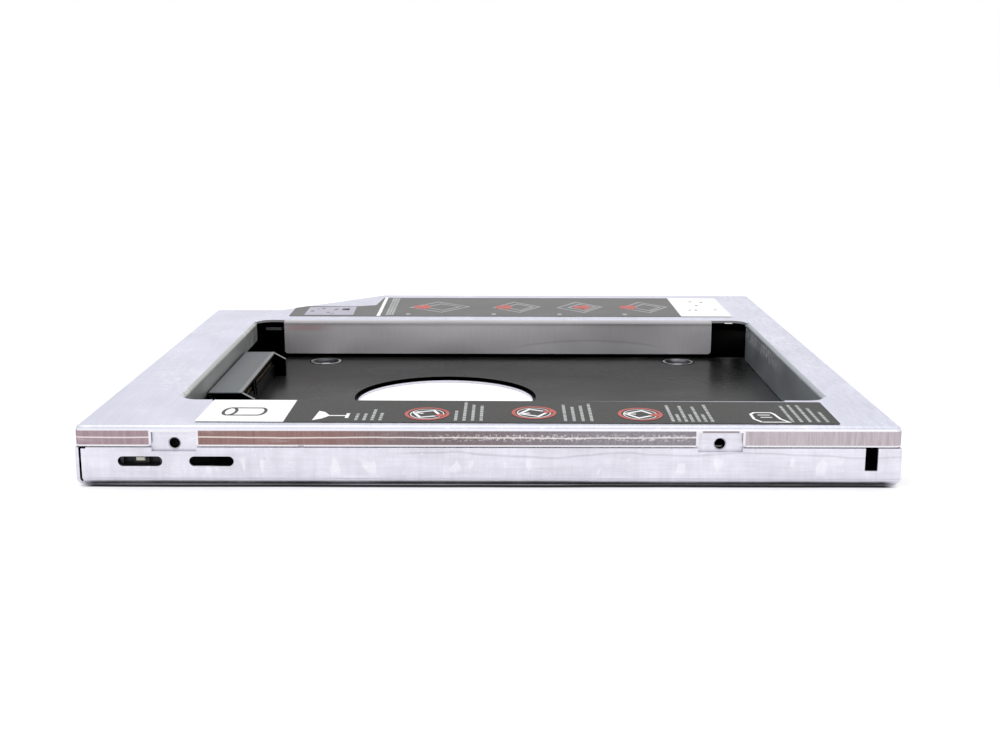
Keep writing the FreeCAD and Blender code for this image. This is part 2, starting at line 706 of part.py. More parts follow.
def make_mode_switch():
    """A three-place slide switch. Its knob stands in the first long slot of the near wall."""
    x0, x1 = slot_x - switch_length / 2, slot_x + switch_length / 2
    y0 = -hy + sheet + board_margin
    y1 = y0 + switch_depth
    z0, z1 = board_top, board_top + switch_height
    w = switch_wall
    low, high = knob_z - knob_height / 2, knob_z + knob_height / 2
    opening = knob_length / 2 + knob_travel + knob_play
    case = box(x0, x1, y0, y1, z0, z1).cut(box(x0 + w, x1 - w, y0 + w, y1 + 1, z0 - 1, z1 - w))
    case = case.cut(box(slot_x - opening, slot_x + opening, y0 - 1, y0 + w, z0 - 1, high + knob_play))
    keep("mode_switch_case", case.removeSplitter())
    slider_end = y0 + w + slider_depth
    base = box(x0 + w, x1 - w, slider_end, y1, z0, z1 - w)
    lugs = []
    for shift in switch_lug_xs:
        x = slot_x + shift
        lugs.append(box(x - switch_lug_width / 2, x + switch_lug_width / 2, y1 - contact_width,
                        y1 + contact_width, z0, z0 + contact_sheet))
    keep("mode_switch_base", cut_all(base, lugs))
    keep("mode_switch_terminals", *lugs)
    half = switch_length / 2 - w - knob_travel - slider_play
    slider_start = y0 + w + slider_play
    slider = box(slot_x - half, slot_x + half, slider_start, slider_end - slider_play,
                 z0 + slider_play, z1 - w - slider_play)
    tip = -hy + knob_reach
    knob_half = knob_length / 2
    knob = box(slot_x - knob_half, slot_x + knob_half, tip, slider_start + slider_play, low, high)
    tip_edges = [e for e in knob.Edges if abs(e.BoundBox.YMax - tip) < 1e-6]
    keep("mode_switch_knob", fuse_all([slider, knob.makeFillet(knob_round, tip_edges)]))


def two_ended(place, length, width, height, end):
    """A two-terminal part along Y: its body and its two metal ends, which are a little larger all round."""
    x, y = place
    step = 0.03
    x0, x1 = x - width / 2, x + width / 2
    inner, outer = length / 2 - end, length / 2
    top = board_top + height
    body = box(x0 + step, x1 - step, y - inner, y + inner, board_top + step, top - step)
    ends = [box(x0, x1, y + side * inner, y + side * outer, board_top, top) for side in (-1, 1)]
    return body, ends


def make_passives():
    rail = drive_rear - ceramic_setback
    ceramics = [(rail, key_y + ceramic_start + i * ceramic_pitch) for i in range(ceramic_count)]
    resistors = [(rail - resistor_setback, key_y + resistor_start + i * resistor_pitch)
                 for i in range(resistor_count)]
    tantalum = [(rail - tantalum_setback, key_y + tantalum_place)]
    sets = (
        ("ceramic_capacitor_bodies", "ceramic_capacitor_ends", ceramics, ceramic_size),
        ("resistor_bodies", "resistor_ends", resistors, resistor_size),
        ("tantalum_capacitor_body", "tantalum_capacitor_ends", tantalum, tantalum_size),
    )
    for body_name, end_name, places, size in sets:
        made = [two_ended(place, *size) for place in places]
        keep(body_name, *[body for body, _ends in made])
        keep(end_name, *[end for _body, ends in made for end in ends])


def chip_lead(x, y, side):
    """One bent lead. side is the way along X in which it points, and x is where it leaves the body."""
    half, t = lead_width / 2, contact_sheet
    shoulder_z = board_top + lead_shoulder
    inside, bend, toe = x - side * lead_root, x + side * lead_reach, x + side * lead_toe
    shoulder = box(inside, bend, y - half, y + half, shoulder_z, shoulder_z + t)
    drop = box(bend - side * t, bend, y - half, y + half, board_top, shoulder_z + t)
    foot = box(bend - side * t, toe, y - half, y + half, board_top, board_top + t)
    return fuse_all([shoulder, drop, foot])


def make_signal_chip():
    """The eight-lead chip that answers for the missing disc drive."""
    x, y = -hx + chip_setback, key_y + chip_place
    half_x, half_y = chip_width / 2, chip_length / 2
    top = board_top + chip_height
    body = box(x - half_x, x + half_x, y - half_y, y + half_y, board_top + chip_lift, top)
    body = body.makeChamfer(chip_slope, edges_at(body, top))
    per_side = 4
    first = -lead_pitch * (per_side - 1) / 2
    leads = [chip_lead(x + side * half_x, y + first + i * lead_pitch, side)
             for side in (-1, 1) for i in range(per_side)]
    keep("signal_chip_body", cut_all(body, leads))
    keep("signal_chip_leads", *leads)


# ---------------------------------------------------------------- labels
def make_labels():
    x0, x1 = -hx + label_rear, hx - label_front
    low, high = body_height, body_height + label
    near_far_edge = window[2] - cover_bend - near_label_gap
    near = rounded_box(x0, x1, near_far_edge - near_label_width, near_far_edge, low, high, label_corner)
    centre = V((x0 + x1) / 2, near_far_edge - near_label_width / 2, low)
    near.rotate(centre, V(0, 0, 1), near_label_tilt)
    keep("near_label", near)

    y0, y1 = window[3] + far_label_gap, hy - far_label_setback
    step_x, step_y = x0 + far_label_step[0], y0 + far_label_step[1]
    slope_x, slope_y = far_label_slope
    edge = diagonal - (cover_bend + label_margin) * math.sqrt(2)        # y - x at the cut corner's bend
    points = [(x0, y0), (x1, y0), (x1, y1), (step_x, y1), (step_x - slope_x, step_y + slope_y),
              (step_x - far_label_shoulder, step_y), (step_y - edge, step_y), (x0, x0 + edge)]
    far = prism(points, low, high)
    keep("far_label", far.makeFillet(label_corner, upright_edges(far, label)))


def main():
    make_bottom_shell()
    make_top_cover()
    make_floor_liner()
    make_cover_fasteners()
    make_board()
    make_board_fasteners()
    make_drive_socket()
    make_host_plug()
    make_mode_switch()
    make_passives()
    make_signal_chip()
    make_labels()
    os.makedirs("parts", exist_ok=True)
    for name, shape in PARTS.items():
        if not shape.isValid():
            raise ValueError(f"{name} is not a valid shape")
        shape.exportStep(f"parts/{name}.step")
        print(f"{name:32s} solids {len(shape.Solids):3d}  volume {shape.Volume:10.2f}")


main()
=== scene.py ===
"""Looks of the optical-bay drive caddy: materials, printed marks on the labels, light and camera.

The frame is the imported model's: X along the body, Y across it, Z up, in metres. Places on the body
are worked out from its nodes' boxes. Materials and marks work in millimetres, and MM turns those
into metres.
"""

import math
import random

import bmesh
import bpy
from mathutils import Matrix, Vector


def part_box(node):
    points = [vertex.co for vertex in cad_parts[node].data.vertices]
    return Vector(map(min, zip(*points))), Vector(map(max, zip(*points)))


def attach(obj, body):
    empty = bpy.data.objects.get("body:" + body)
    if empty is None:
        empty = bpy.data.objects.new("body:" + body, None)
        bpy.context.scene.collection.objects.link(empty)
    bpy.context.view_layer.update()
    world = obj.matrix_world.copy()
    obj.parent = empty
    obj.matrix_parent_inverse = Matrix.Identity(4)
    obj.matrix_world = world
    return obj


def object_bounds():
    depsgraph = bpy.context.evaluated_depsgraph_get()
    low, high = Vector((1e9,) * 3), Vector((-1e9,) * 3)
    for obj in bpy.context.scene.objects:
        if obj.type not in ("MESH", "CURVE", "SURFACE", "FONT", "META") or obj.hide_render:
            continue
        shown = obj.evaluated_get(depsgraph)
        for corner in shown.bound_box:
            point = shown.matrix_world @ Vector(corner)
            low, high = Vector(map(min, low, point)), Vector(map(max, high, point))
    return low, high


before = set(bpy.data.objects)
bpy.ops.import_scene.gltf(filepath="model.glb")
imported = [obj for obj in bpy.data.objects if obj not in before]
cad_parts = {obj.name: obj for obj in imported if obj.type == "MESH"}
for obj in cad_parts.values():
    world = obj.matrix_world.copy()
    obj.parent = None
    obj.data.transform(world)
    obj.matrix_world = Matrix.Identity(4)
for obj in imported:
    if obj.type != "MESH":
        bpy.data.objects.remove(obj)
cad_low, cad_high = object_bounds()

MM = 0.001
NOISE_SPAN = (0.3, 0.7)

# ---------------------------------------------------------------- camera and light
CAMERA_PLACE = (0.00096, -0.25924, 0.0604)
CAMERA_DOWN = 12.394          # degrees below the horizon
CAMERA_YAW = 0.201            # degrees from +Y towards +X
CAMERA_ROLL = 0.153           # degrees, right side up
CAMERA_LENS = 47.81           # mm
CAMERA_SENSOR = 36            # mm wide
CAMERA_CLIP = 0.01            # metres
WORLD_LIGHT = 1.0
OVERHEAD = {"place": (-0.1, 0.15, 0.9), "size": (0.9, 0.7), "power": 1.6}      # metres, watts
FRONT = {"place": (0.25, -0.8, 0.35), "size": (0.5, 0.3), "power": 0.20}
FLOOR_WHITE = (0.97, 0.97, 0.975)
FLOOR_SIZE = 40.0
FLOOR_DROP = 0.00002
FLOOR_GLOW = 0.12
CONTACT_SHADOW = 0.75         # mm in front of the body, on the floor
CONTACT_UNDER = (-1.2, -0.6)  # mm under the body, where that shadow fades out
CONTACT_CORNER = 2.5          # mm in from the body's corners, the same

# ---------------------------------------------------------------- printed marks, in mm
PRINT_RISE = 0.012            # one layer of ink
INK_LAYERS = {"faint": 1, "pale": 1, "dark": 2, "red": 3}     # layers that lie under these
STROKE = 0.42                 # width of an outline
TEXT_WIDTH = 0.50             # width of a row of dashes
DASH = (0.35, 1.3)            # shortest and longest dash, and the same for the gap after it
GAP = (0.16, 0.34)
RING_SIDES = 40
DOT_SIDES = 14
MITRE_LIMIT = 0.35            # keeps the sharpest corners of an outline from growing
NEAR_LABEL_TILT = -0.55       # degrees, as the label lies on the cover
NEAR_LABEL_SIZE = (99.05, 14.25)
TEXT_FOOT = 1.1               # from the near label's edge to its rows of dashes
FINE_PITCH = 1.25             # spacing of its rows beside the glass, and beside the booklet
WIDE_PITCH = 1.34
FAR_PITCH = 0.62              # spacing of the dashed rows on the far label

# ---------------------------------------------------------------- places on the sheet metal, in mm
SHEET = 0.5
TAB_DROP = 1.2                # the tabs' faces reach below the ledge by this
JOGGLE = 0.55                 # the shell's upper walls stand in by this
FLANGE_DEPTH = 3.2            # the cover's outer flanges, from the top face down
BEND = 0.8                    # the cover's bends
LEDGE = 6.1                   # top of the shell's lower walls
TAB_HALF = 3.4
TAB_SETBACKS = (15.05, 98.35) # middles of the near wall's tapped holes, from the rear edge
WINDOW_BANDS = (12.05, 7.45, 17.2, 35.6)     # rims round the window: rear, front, near, far
CUT_LENGTH = 14.5             # cut rear corner: straight part along X, and depth along Y
CUT_DEPTH = 22.0
SOCKET_DEPTH = 5.3            # drive socket, back to mouth
SOCKET_LIP = 3.8              # height of its mouth's lower edge
FRONT_BRUSHING = (9.0, 6.0)   # the front rim's slanting streaks set in between these setbacks
FLANGE_LINE_DROP = 1.8        # painted reflection: a bright line along the outer flanges, below the top face
FLANGE_LINE_END = 98.0        # its front end, from the rear edge
FROST_SPAN = (76.0, 12.0, 16.0)       # frosted part of that painted line: middle, half length, fading
BORDER_WIDTH = 0.25           # painted highlight: a light border along the outer flanges' lower edge
BLUSH_SETBACK = 10.0          # middle of the red blush on the far window flange, from its rear end
BLUSH_DROP = 1.7              # and below the top face
TOP_SHADE_DROPS = (1.6, 0.8)       # painted shade: that flange darkens upwards between these depths
GLINT_FOOT_DROPS = (4.2, 2.6)  # painted glints on the front window flange: depths between which their lower and upper edges fade, and the distances from the window's near edge between which their near end does
GLINT_HEAD_DROPS = (0.9, 1.2)  # and upper edges fade, and the distances from the window's near edge
GLINT_SETBACKS = (30, 48)      # between which their near end does
STROKES_FAR = (22, 10)        # painted glints in strokes on the rear window flange: distances from its far and near ends between which they fade in
STROKES_NEAR = (12, 4)        # ends between which they fade in
ARC_SETBACK = 34.0            # a soft curved reflection on that flange, from its front end
ARC_HALF = 17.0
ARC_TOP = 5.0
ARC_RISE = 1.6
MARKS_Z = 3.2                 # heights on the shell's walls: pale marks, and the painted shade at a crease and a fold
CREASE_Z = 1.25
FOLD_Z = 6.3
FOLD_START = (45, 55)         # the fold's painted shade fades in between these distances from the rear edge
METAL_RELIEF = 0.004          # depths of grain
SMALL_METAL_RELIEF = 0.003
PLASTIC_RELIEF = 0.006
FINE_RELIEF = 0.004
FILM_RELIEF = 0.002
POUR_RELIEF = 0.02            # step at the edge of the board's copper

# ---------------------------------------------------------------- gloss
SATIN_IOR = 1.30              # below those of the real materials, so that grazing light stays faint
LINER_IOR = 1.20

# ---------------------------------------------------------------- colours, linear
COVER_TOP = (0.700, 0.705, 0.820)
# bright specks on the top; also painted glints and a painted reflection on the window's flanges
COVER_SPECK_AND_GLINT = (0.93, 0.93, 0.96)
# outer flanges: darker metal, with the surroundings' reflections painted into its tones
FLANGE_REAR = (0.330, 0.245, 0.275)
FLANGE_LEFT = (0.260, 0.160, 0.150)
FLANGE_MIDDLE = (0.185, 0.150, 0.160)
FLANGE_RIGHT = (0.245, 0.225, 0.255)
FLANGE_FRONT = (0.450, 0.400, 0.430)
# smears on the flanges, and the frosted patches of their painted reflection line
FLANGE_FROST_AND_REFLECTION = (0.560, 0.530, 0.550)
# painted reflection line along the outer flanges
FLANGE_REFLECTION_LINE = (0.800, 0.740, 0.720)
# painted highlight on the bends
BEND_HIGHLIGHT = (0.860, 0.860, 0.930)
# painted highlight along the outer flanges' lower edge
FLANGE_EDGE_HIGHLIGHT = (0.740, 0.720, 0.760)
FLANGE_STOPS = (              # millimetres from the rear edge, and the colour there
    (0.0, FLANGE_REAR), (12.0, FLANGE_REAR), (17.0, FLANGE_LEFT), (34.0, FLANGE_LEFT),
    (57.0, FLANGE_MIDDLE), (84.0, FLANGE_RIGHT), (96.0, FLANGE_RIGHT), (101.0, FLANGE_FRONT),
)
# the window's flanges by side, in painted light and shade: lightest on the far one, which faces the
# front
WINDOW_FAR = (0.640, 0.620, 0.640)
WINDOW_BLUSH = (0.560, 0.330, 0.350)
WINDOW_REAR = (0.500, 0.530, 0.510)
WINDOW_FRONT = (0.420, 0.455, 0.485)
KNOB_BEIGE = (0.42, 0.41, 0.35)
# painted light on the socket's top: lit greys over its black plastic
SOCKET_COOL = (0.105, 0.125, 0.145)
SOCKET_WARM = (0.150, 0.150, 0.155)
SOCKET_BLACK = (0.045, 0.050, 0.055)
# painted shade on the socket's faces other than its top, lip and slope
SOCKET_SHADE = (0.001, 0.001, 0.001)
# painted highlights on the socket's lip and the slope before its mouth
SOCKET_LIP_HIGHLIGHT = (0.26, 0.26, 0.25)
SOCKET_SLOPE_HIGHLIGHT = (0.22, 0.22, 0.22)
SHELL_METAL = (0.705, 0.692, 0.770)
SHELL_BRIGHT = (0.940, 0.930, 0.960)
# painted shade along the shell walls' crease
SHELL_CREASE_SHADE = (0.36, 0.35, 0.42)
RING_DARK = (0.26, 0.26, 0.27)
RING_LIGHT = (0.60, 0.60, 0.62)
BLACK = (0.0, 0.0, 0.0)
# painted shade: black put on faces inside the body, in gaps and behind the switch knob
PAINTED_SHADE_BLACK = (0.002, 0.002, 0.002)
LINER_BLACK = (0.007, 0.007, 0.007)
LINER_RUBBED = (0.013, 0.014, 0.013)
LINER_DUST = (0.20, 0.20, 0.20)
BOARD_BLACK = (0.010, 0.010, 0.012)
BOARD_BARE = (0.006, 0.006, 0.007)
BOARD_POUR = (0.014, 0.014, 0.017)
CONNECTOR_BLACK = (0.030, 0.031, 0.034)
CHIP_BLACK = (0.022, 0.022, 0.023)
GOLD = (0.78, 0.52, 0.20)
TIN = (0.66, 0.66, 0.68)
NICKEL = (0.56, 0.55, 0.54)
NEAR_BLACK_STEEL = (0.012, 0.012, 0.013)
# painted shade: the switch case is darkened, as it lies in shade in the slot
SHADED_STEEL = (0.070, 0.070, 0.074)
CERAMIC = (0.42, 0.30, 0.20)
CERAMIC_DARK = (0.34, 0.24, 0.16)
CERAMIC_LIGHT = (0.50, 0.37, 0.26)
TANTALUM = (0.55, 0.33, 0.05)
TANTALUM_BAND = (0.20, 0.07, 0.02)
# painted contact shadow on the floor
PAINTED_CONTACT_SHADOW = (0.02, 0.02, 0.025)
LABEL_GREY = (0.036, 0.037, 0.035)
LABEL_GREY_FAR = (0.140, 0.138, 0.140)
LABEL_WHITE = (0.930, 0.930, 0.940)
PATCH_PALE = (0.430, 0.420, 0.500)
INK_PALE = (0.430, 0.445, 0.450)
INK_FAINT = (0.300, 0.300, 0.310)
INK_RED = (0.480, 0.075, 0.060)
INK_DARK = (0.030, 0.030, 0.035)


# ---------------------------------------------------------------- material helper
class Look:
    """One node material. Points are given in object space, in millimetres."""

    # Sockets of a Mix node: its two inputs and its output, for numbers and for colours.
    NUMBERS = (2, 3, 0)
    COLOURS = (6, 7, 2)

    def __init__(self, name, color, rough, metal=0.0):
        self.material = bpy.data.materials.new(name)
        self.material.use_nodes = True
        self.tree = self.material.node_tree
        self.shader = self.tree.nodes["Principled BSDF"]
        self.shader.inputs["Base Color"].default_value = (*color, 1)
        self.shader.inputs["Roughness"].default_value = rough
        self.shader.inputs["Metallic"].default_value = metal
        self.material.diffuse_color = (*color, 1)
        coords = self.tree.nodes.new("ShaderNodeTexCoord")
        self.normal = coords.outputs["Normal"]
        scale = self.node("ShaderNodeVectorMath", operation="SCALE")
        scale.inputs["Scale"].default_value = 1 / MM
        self.link(coords.outputs["Object"], scale.inputs[0])
        self.point = scale.outputs[0]
        self.x, self.y, self.z = self.split(self.point)

    def node(self, kind, **props):
        made = self.tree.nodes.new(kind)
        for key, value in props.items():
            setattr(made, key, value)
        return made

    def link(self, a, b):
        self.tree.links.new(a, b)

    def feed(self, socket, value):
        """Links value if it is a socket, and sets it if it is a number or a colour."""
        if isinstance(value, bpy.types.NodeSocket):
            self.link(value, socket)
        elif isinstance(value, tuple) and len(value) == 3 and len(socket.default_value) == 4:
            socket.default_value = (*value, 1)
        else:
            socket.default_value = value

    def split(self, vector):
        made = self.node("ShaderNodeSeparateXYZ")
        self.link(vector, made.inputs[0])
        return made.outputs

    def math(self, operation, a, b=0.0):
        made = self.node("ShaderNodeMath", operation=operation)
        self.feed(made.inputs[0], a)
        self.feed(made.inputs[1], b)
        return made.outputs[0]

    def step(self, value, start, end):
        """0 before start, 1 past end, smooth between. start may be above end."""
        made = self.node("ShaderNodeMapRange", interpolation_type="SMOOTHSTEP")
        self.feed(made.inputs["Value"], value)
        low, high = min(start, end), max(start, end)
        made.inputs["From Min"].default_value = low
        made.inputs["From Max"].default_value = high
        made.inputs["To Min"].default_value = 0.0 if start < end else 1.0
        made.inputs["To Max"].default_value = 1.0 if start < end else 0.0
        return made.outputs[0]

    def plus(self, a, b):
        return self.math("ADD", a, b)

    def minus(self, a, b):
        return self.math("SUBTRACT", a, b)

    def times(self, a, b):
        return self.math("MULTIPLY", a, b)

    def unsigned(self, a):
        return self.math("ABSOLUTE", a)

    def both(self, a, b):
        """1 where both masks are 1."""
        return self.times(a, b)

    def either(self, a, b):
        """1 where one of the masks is 1."""
        return self.math("MAXIMUM", a, b)

    def unless(self, a):
        """A mask turned round."""
        return self.minus(1.0, a)

    def within(self, bounds, margin):
        """1 inside a rectangle in plan that is larger than bounds by margin, 0 outside it."""
        x0, x1, y0, y1 = bounds
        soft = 0.1
        along = self.band(self.x, (x0 + x1) / 2, (x1 - x0) / 2 + margin, soft)
        across = self.band(self.y, (y0 + y1) / 2, (y1 - y0) / 2 + margin, soft)
        return self.both(along, across)

    def outline_depth(self, x0, x1, y0, y1):
        """How far a point is in from the body's outline: a rectangle with one cut rear corner."""
        half_x, half_y = (x1 - x0) / 2, (y1 - y0) / 2
        away_x = self.unsigned(self.minus(self.x, x0 + half_x))
        away_y = self.unsigned(self.minus(self.y, y0 + half_y))
        sides = self.math("MINIMUM", self.minus(half_x, away_x), self.minus(half_y, away_y))
        cut_y = y1 - CUT_DEPTH
        diagonal = cut_y - x0 - CUT_LENGTH
        straight = self.minus(cut_y, self.y)
        slant = self.minus(diagonal, self.minus(self.y, self.x))
        corner = self.math("MAXIMUM", straight, self.times(slant, math.sqrt(0.5)))
        return self.math("MINIMUM", sides, corner)

    def blend(self, value, stops):
        """A colour that goes through (place, colour) stops as value grows."""
        before, tone = stops[0]
        for place, color in stops[1:]:
            tone = self.mix(self.step(value, before, place), tone, color)
            before = place
        return tone

    def band(self, value, middle, half, soft):
        """1 within half of middle, falling to 0 over soft."""
        away = self.unsigned(self.minus(value, middle))
        return self.step(away, half + soft, half)

    def noise(self, per_mm, detail=3.0, rough=0.5, turn=(0, 0, 0), shift=(0, 0, 0)):
        """Noise with its own fineness along X, Y and Z, in waves per millimetre."""
        mapping = self.node("ShaderNodeMapping")
        mapping.inputs["Scale"].default_value = per_mm
        mapping.inputs["Rotation"].default_value = [math.radians(a) for a in turn]
        mapping.inputs["Location"].default_value = shift
        made = self.node("ShaderNodeTexNoise")
        made.inputs["Scale"].default_value = 1.0
        made.inputs["Detail"].default_value = detail
        made.inputs["Roughness"].default_value = rough
        self.link(self.point, mapping.inputs[0])
        self.link(mapping.outputs[0], made.inputs["Vector"])
        return made.outputs[0]

    def mix(self, amount, a, b, blend="MIX"):
        made = self.node("ShaderNodeMix", data_type="RGBA", blend_type=blend)
        return self.fill(made, self.COLOURS, amount, a, b)

    def between(self, amount, a, b):
        """Mixes two numbers."""
        made = self.node("ShaderNodeMix", data_type="FLOAT")
        return self.fill(made, self.NUMBERS, amount, a, b)

    def fill(self, made, sockets, amount, a, b):
        """Feeds a Mix node and gives back its output."""
        first, second, output = sockets
        self.feed(made.inputs["Factor"], amount)
        self.feed(made.inputs[first], a)
        self.feed(made.inputs[second], b)
        return made.outputs[output]

    def vary(self, value, low, high):
        """Spreads noise, which keeps mostly to the span below, between low and high."""
        made = self.node("ShaderNodeMapRange")
        self.feed(made.inputs["Value"], value)
        made.inputs["From Min"].default_value, made.inputs["From Max"].default_value = NOISE_SPAN
        made.inputs["To Min"].default_value = low
        made.inputs["To Max"].default_value = high
        return made.outputs[0]

    def shade(self, color, amount):
        """Multiplies a colour by a grey amount."""
        grey = self.node("ShaderNodeCombineColor")
        for i in range(3):
            self.feed(grey.inputs[i], amount)
        return self.mix(1.0, color, grey.outputs[0], "MULTIPLY")

    def color(self, value):
        self.feed(self.shader.inputs["Base Color"], value)

    def rough(self, value):
        self.feed(self.shader.inputs["Roughness"], value)

    def bump(self, height, depth_mm):
        made = self.node("ShaderNodeBump")
        made.inputs["Strength"].default_value = 1.0
        made.inputs["Distance"].default_value = depth_mm * MM
        self.link(height, made.inputs["Height"])
        self.link(made.outputs[0], self.shader.inputs["Normal"])


# ---------------------------------------------------------------- metals
def cover_top(look, front_x):
    """Colour and roughness of the flat top: fine streaks along X, soft clouds, bright specks."""
    streaks = look.noise((5.0, 0.12, 1.0), detail=4.0, rough=0.6)
    clouds = look.noise((0.09, 0.07, 0.1), detail=2.0)
    diagonal = look.noise((1.6, 0.35, 1.0), detail=3.0, turn=(0, 0, 40))
    pits = look.noise((1.5, 0.9, 1.5), detail=4.0, rough=0.7)
    pit_zone = look.noise((0.10, 0.05, 0.1), detail=1.0, shift=(4, 0, 0))
    beads = look.noise((1.1, 2.4, 1.0), detail=1.0, turn=(0, 0, -24))
    bead_zone = look.noise((0.13, 0.05, 0.1), detail=2.0, shift=(7, 3, 0))
    specks = look.both(look.step(pits, 0.60, 0.68), look.step(pit_zone, 0.47, 0.60))
    beaded = look.both(look.step(beads, 0.56, 0.64), look.step(bead_zone, 0.50, 0.60))

    start, end = FRONT_BRUSHING
    at_front = look.step(look.x, front_x - start, front_x - end)
    lines = look.between(at_front, look.vary(streaks, 0.91, 1.06), look.vary(diagonal, 0.91, 1.06))
    tone = look.shade(COVER_TOP, look.vary(clouds, 0.93, 1.05))
    tone = look.shade(tone, lines)
    tone = look.mix(look.times(specks, 0.75), tone, COVER_SPECK_AND_GLINT)
    tone = look.mix(look.times(beaded, 0.45), tone, COVER_SPECK_AND_GLINT)
    rough = look.plus(look.vary(streaks, 0.32, 0.44), look.times(specks, 0.2))
    return tone, rough, streaks


def outer_flanges(look, rear_x, top_z, ribs):
    """Colour of the outer flanges: brown to grey along them, partly painted reflection, with a
    painted bright line, a painted light border and a painted bend highlight.
    """
    along = look.minus(look.x, rear_x)
    tone = look.blend(along, FLANGE_STOPS)
    smears = look.noise((0.16, 0.16, 0.9), detail=4.0, rough=0.6)
    frost = look.noise((2.2, 2.2, 2.6), detail=3.0, rough=0.7)
    tone = look.shade(tone, look.vary(ribs, 0.84, 1.16))
    tone = look.mix(look.times(look.step(smears, 0.58, 0.80), 0.4), tone, FLANGE_FROST_AND_REFLECTION)
    # painted reflection: a bright line along the flanges, broken into frosted patches in one stretch
    middle_z = top_z - FLANGE_LINE_DROP
    wave = look.times(look.minus(look.noise((0.07, 0.07, 0.0)), 0.5), 0.5)
    line_z = look.plus(look.z, wave)
    frost_zone = look.both(look.band(along, *FROST_SPAN), look.band(look.z, middle_z, 0.25, 0.5))
    tone = look.mix(look.both(look.step(frost, 0.52, 0.60), frost_zone), tone, FLANGE_FROST_AND_REFLECTION)
    behind_end = look.step(along, FLANGE_LINE_END + 1.0, FLANGE_LINE_END - 1.0)
    reflection_line = look.both(look.band(line_z, middle_z, 0.04, 0.11), behind_end)
    tone = look.mix(look.times(reflection_line, 0.8), tone, FLANGE_REFLECTION_LINE)

    # painted highlight along the lower edge and round the tabs
    border_z = top_z - FLANGE_DEPTH + BORDER_WIDTH
    border = look.step(look.z, border_z + 0.05, border_z - 0.05)
    near_side = look.step(look.y, 0.0, -1.0)
    for setback in TAB_SETBACKS:
        at_tab = look.both(look.band(along, setback, TAB_HALF + 0.30, 0.12), near_side)
        border = look.either(border, at_tab)
    tone = look.mix(border, tone, FLANGE_EDGE_HIGHLIGHT)
    # painted highlight on the bend
    bend_z = top_z - BEND
    tone = look.mix(look.step(look.z, bend_z - 0.04, bend_z + 0.16), tone, BEND_HIGHLIGHT)
    # the painted bend highlight is left off above the front tab, where the flange's darker tone
    # shows
    above_tab = look.both(look.band(along, TAB_SETBACKS[1], TAB_HALF - 0.7, 0.2), near_side)
    bend_unlit = look.both(above_tab, look.band(look.z, bend_z - 0.05, 0.12, 0.08))
    return look.mix(look.times(bend_unlit, 0.8), tone, FLANGE_MIDDLE)


def window_haze(look, bounds, top_z, ribs):
    """Colour of the window's flanges: hazy grey in painted light and shade that differ by side; on
    the far one a blush, a painted curved reflection and painted shade towards the top.
    """
    x0, x1, _, y1 = bounds
    haze = look.noise((0.05, 0.05, 0.12), detail=2.0, rough=0.4, shift=(3, 1, 2))
    at_far = look.step(look.y, y1 - 1.0, y1 - 0.5)
    at_rear = look.both(look.step(look.x, x0 + 1.0, x0 + 0.6),
                        look.step(look.y, y1 - 0.5, y1 - 1.0))
    # painted light and shade by side: the far flange lit, the rear and front ones darker
    tone = look.mix(at_far, look.mix(at_rear, WINDOW_FRONT, WINDOW_REAR), WINDOW_FAR)
    blush = look.both(look.band(look.x, x0 + BLUSH_SETBACK, 0.5, 7.0),
                      look.band(look.z, top_z - BLUSH_DROP, 0.1, 1.0))
    tone = look.mix(look.both(look.times(blush, 0.6), at_far), tone, WINDOW_BLUSH)
    tone = look.shade(tone, look.vary(haze, 0.86, 1.10))
    tone = look.shade(tone, look.vary(ribs, 0.97, 1.03))
    # painted shade towards the top of the far flange
    top_shade = look.both(at_far, look.step(look.z, *(top_z - drop for drop in TOP_SHADE_DROPS)))
    tone = look.shade(tone, look.unless(look.times(top_shade, 0.30)))

    # painted reflection: a soft bright arc on the far flange, with a painted shade line along its
    # edge
    bow = look.times(look.minus(look.x, x1 - ARC_SETBACK), 1 / ARC_HALF)
    arc_z = look.minus(ARC_TOP, look.times(look.both(bow, bow), ARC_RISE))
    under = look.minus(arc_z, look.z)
    near_arc = look.both(at_far, look.step(look.unsigned(bow), 1.1, 0.7))
    lit = look.both(near_arc, look.step(under, 0.1, 0.6))
    tone = look.mix(look.times(lit, 0.14), tone, COVER_SPECK_AND_GLINT)
    line = look.both(near_arc, look.band(under, 0.0, 0.06, 0.22))
    tone = look.shade(tone, look.unless(look.times(line, 0.14)))
    return tone, haze, at_rear


def window_flanges(look, bounds, top_z, ribs):
    """The window's flanges with painted glints: specks near the top of the front one, strokes on the
    rear one.
    """
    _, x1, y0, y1 = bounds
    tone, haze, at_rear = window_haze(look, bounds, top_z, ribs)
    # painted glints near the top of the front flange
    glint_noise = look.noise((1.2, 1.2, 0.9), detail=4.0, rough=0.7)
    high_up = look.both(look.step(look.z, *(top_z - drop for drop in GLINT_FOOT_DROPS)),
                        look.step(look.z, *(top_z - drop for drop in GLINT_HEAD_DROPS)))
    front_end = look.both(look.step(look.x, x1 - 1.0, x1 - 0.6),
                          look.step(look.y, *(y0 + setback for setback in GLINT_SETBACKS)))
    glints = look.both(look.both(look.step(glint_noise, 0.44, 0.56), high_up), front_end)
    tone = look.mix(look.times(glints, 0.75), tone, COVER_SPECK_AND_GLINT)
    # painted glints in strokes on the rear flange
    strokes = look.noise((0.9, 0.9, 0.25), detail=2.0, rough=0.6, shift=(0, 5, 0))
    both_ends = look.either(look.step(look.y, *(y1 - setback for setback in STROKES_FAR)),
                            look.step(look.y, *(y0 + setback for setback in STROKES_NEAR)))
    stroked = look.both(look.both(look.step(strokes, 0.50, 0.58), both_ends), at_rear)
    return look.mix(look.times(stroked, 0.55), tone, COVER_SPECK_AND_GLINT), haze


def window_bounds(x0, x1, y0, y1):
    """The window's edges, from the cover's outline."""
    rear, front, near, far = WINDOW_BANDS
    return x0 + rear, x1 - front, y0 + near, y1 - far


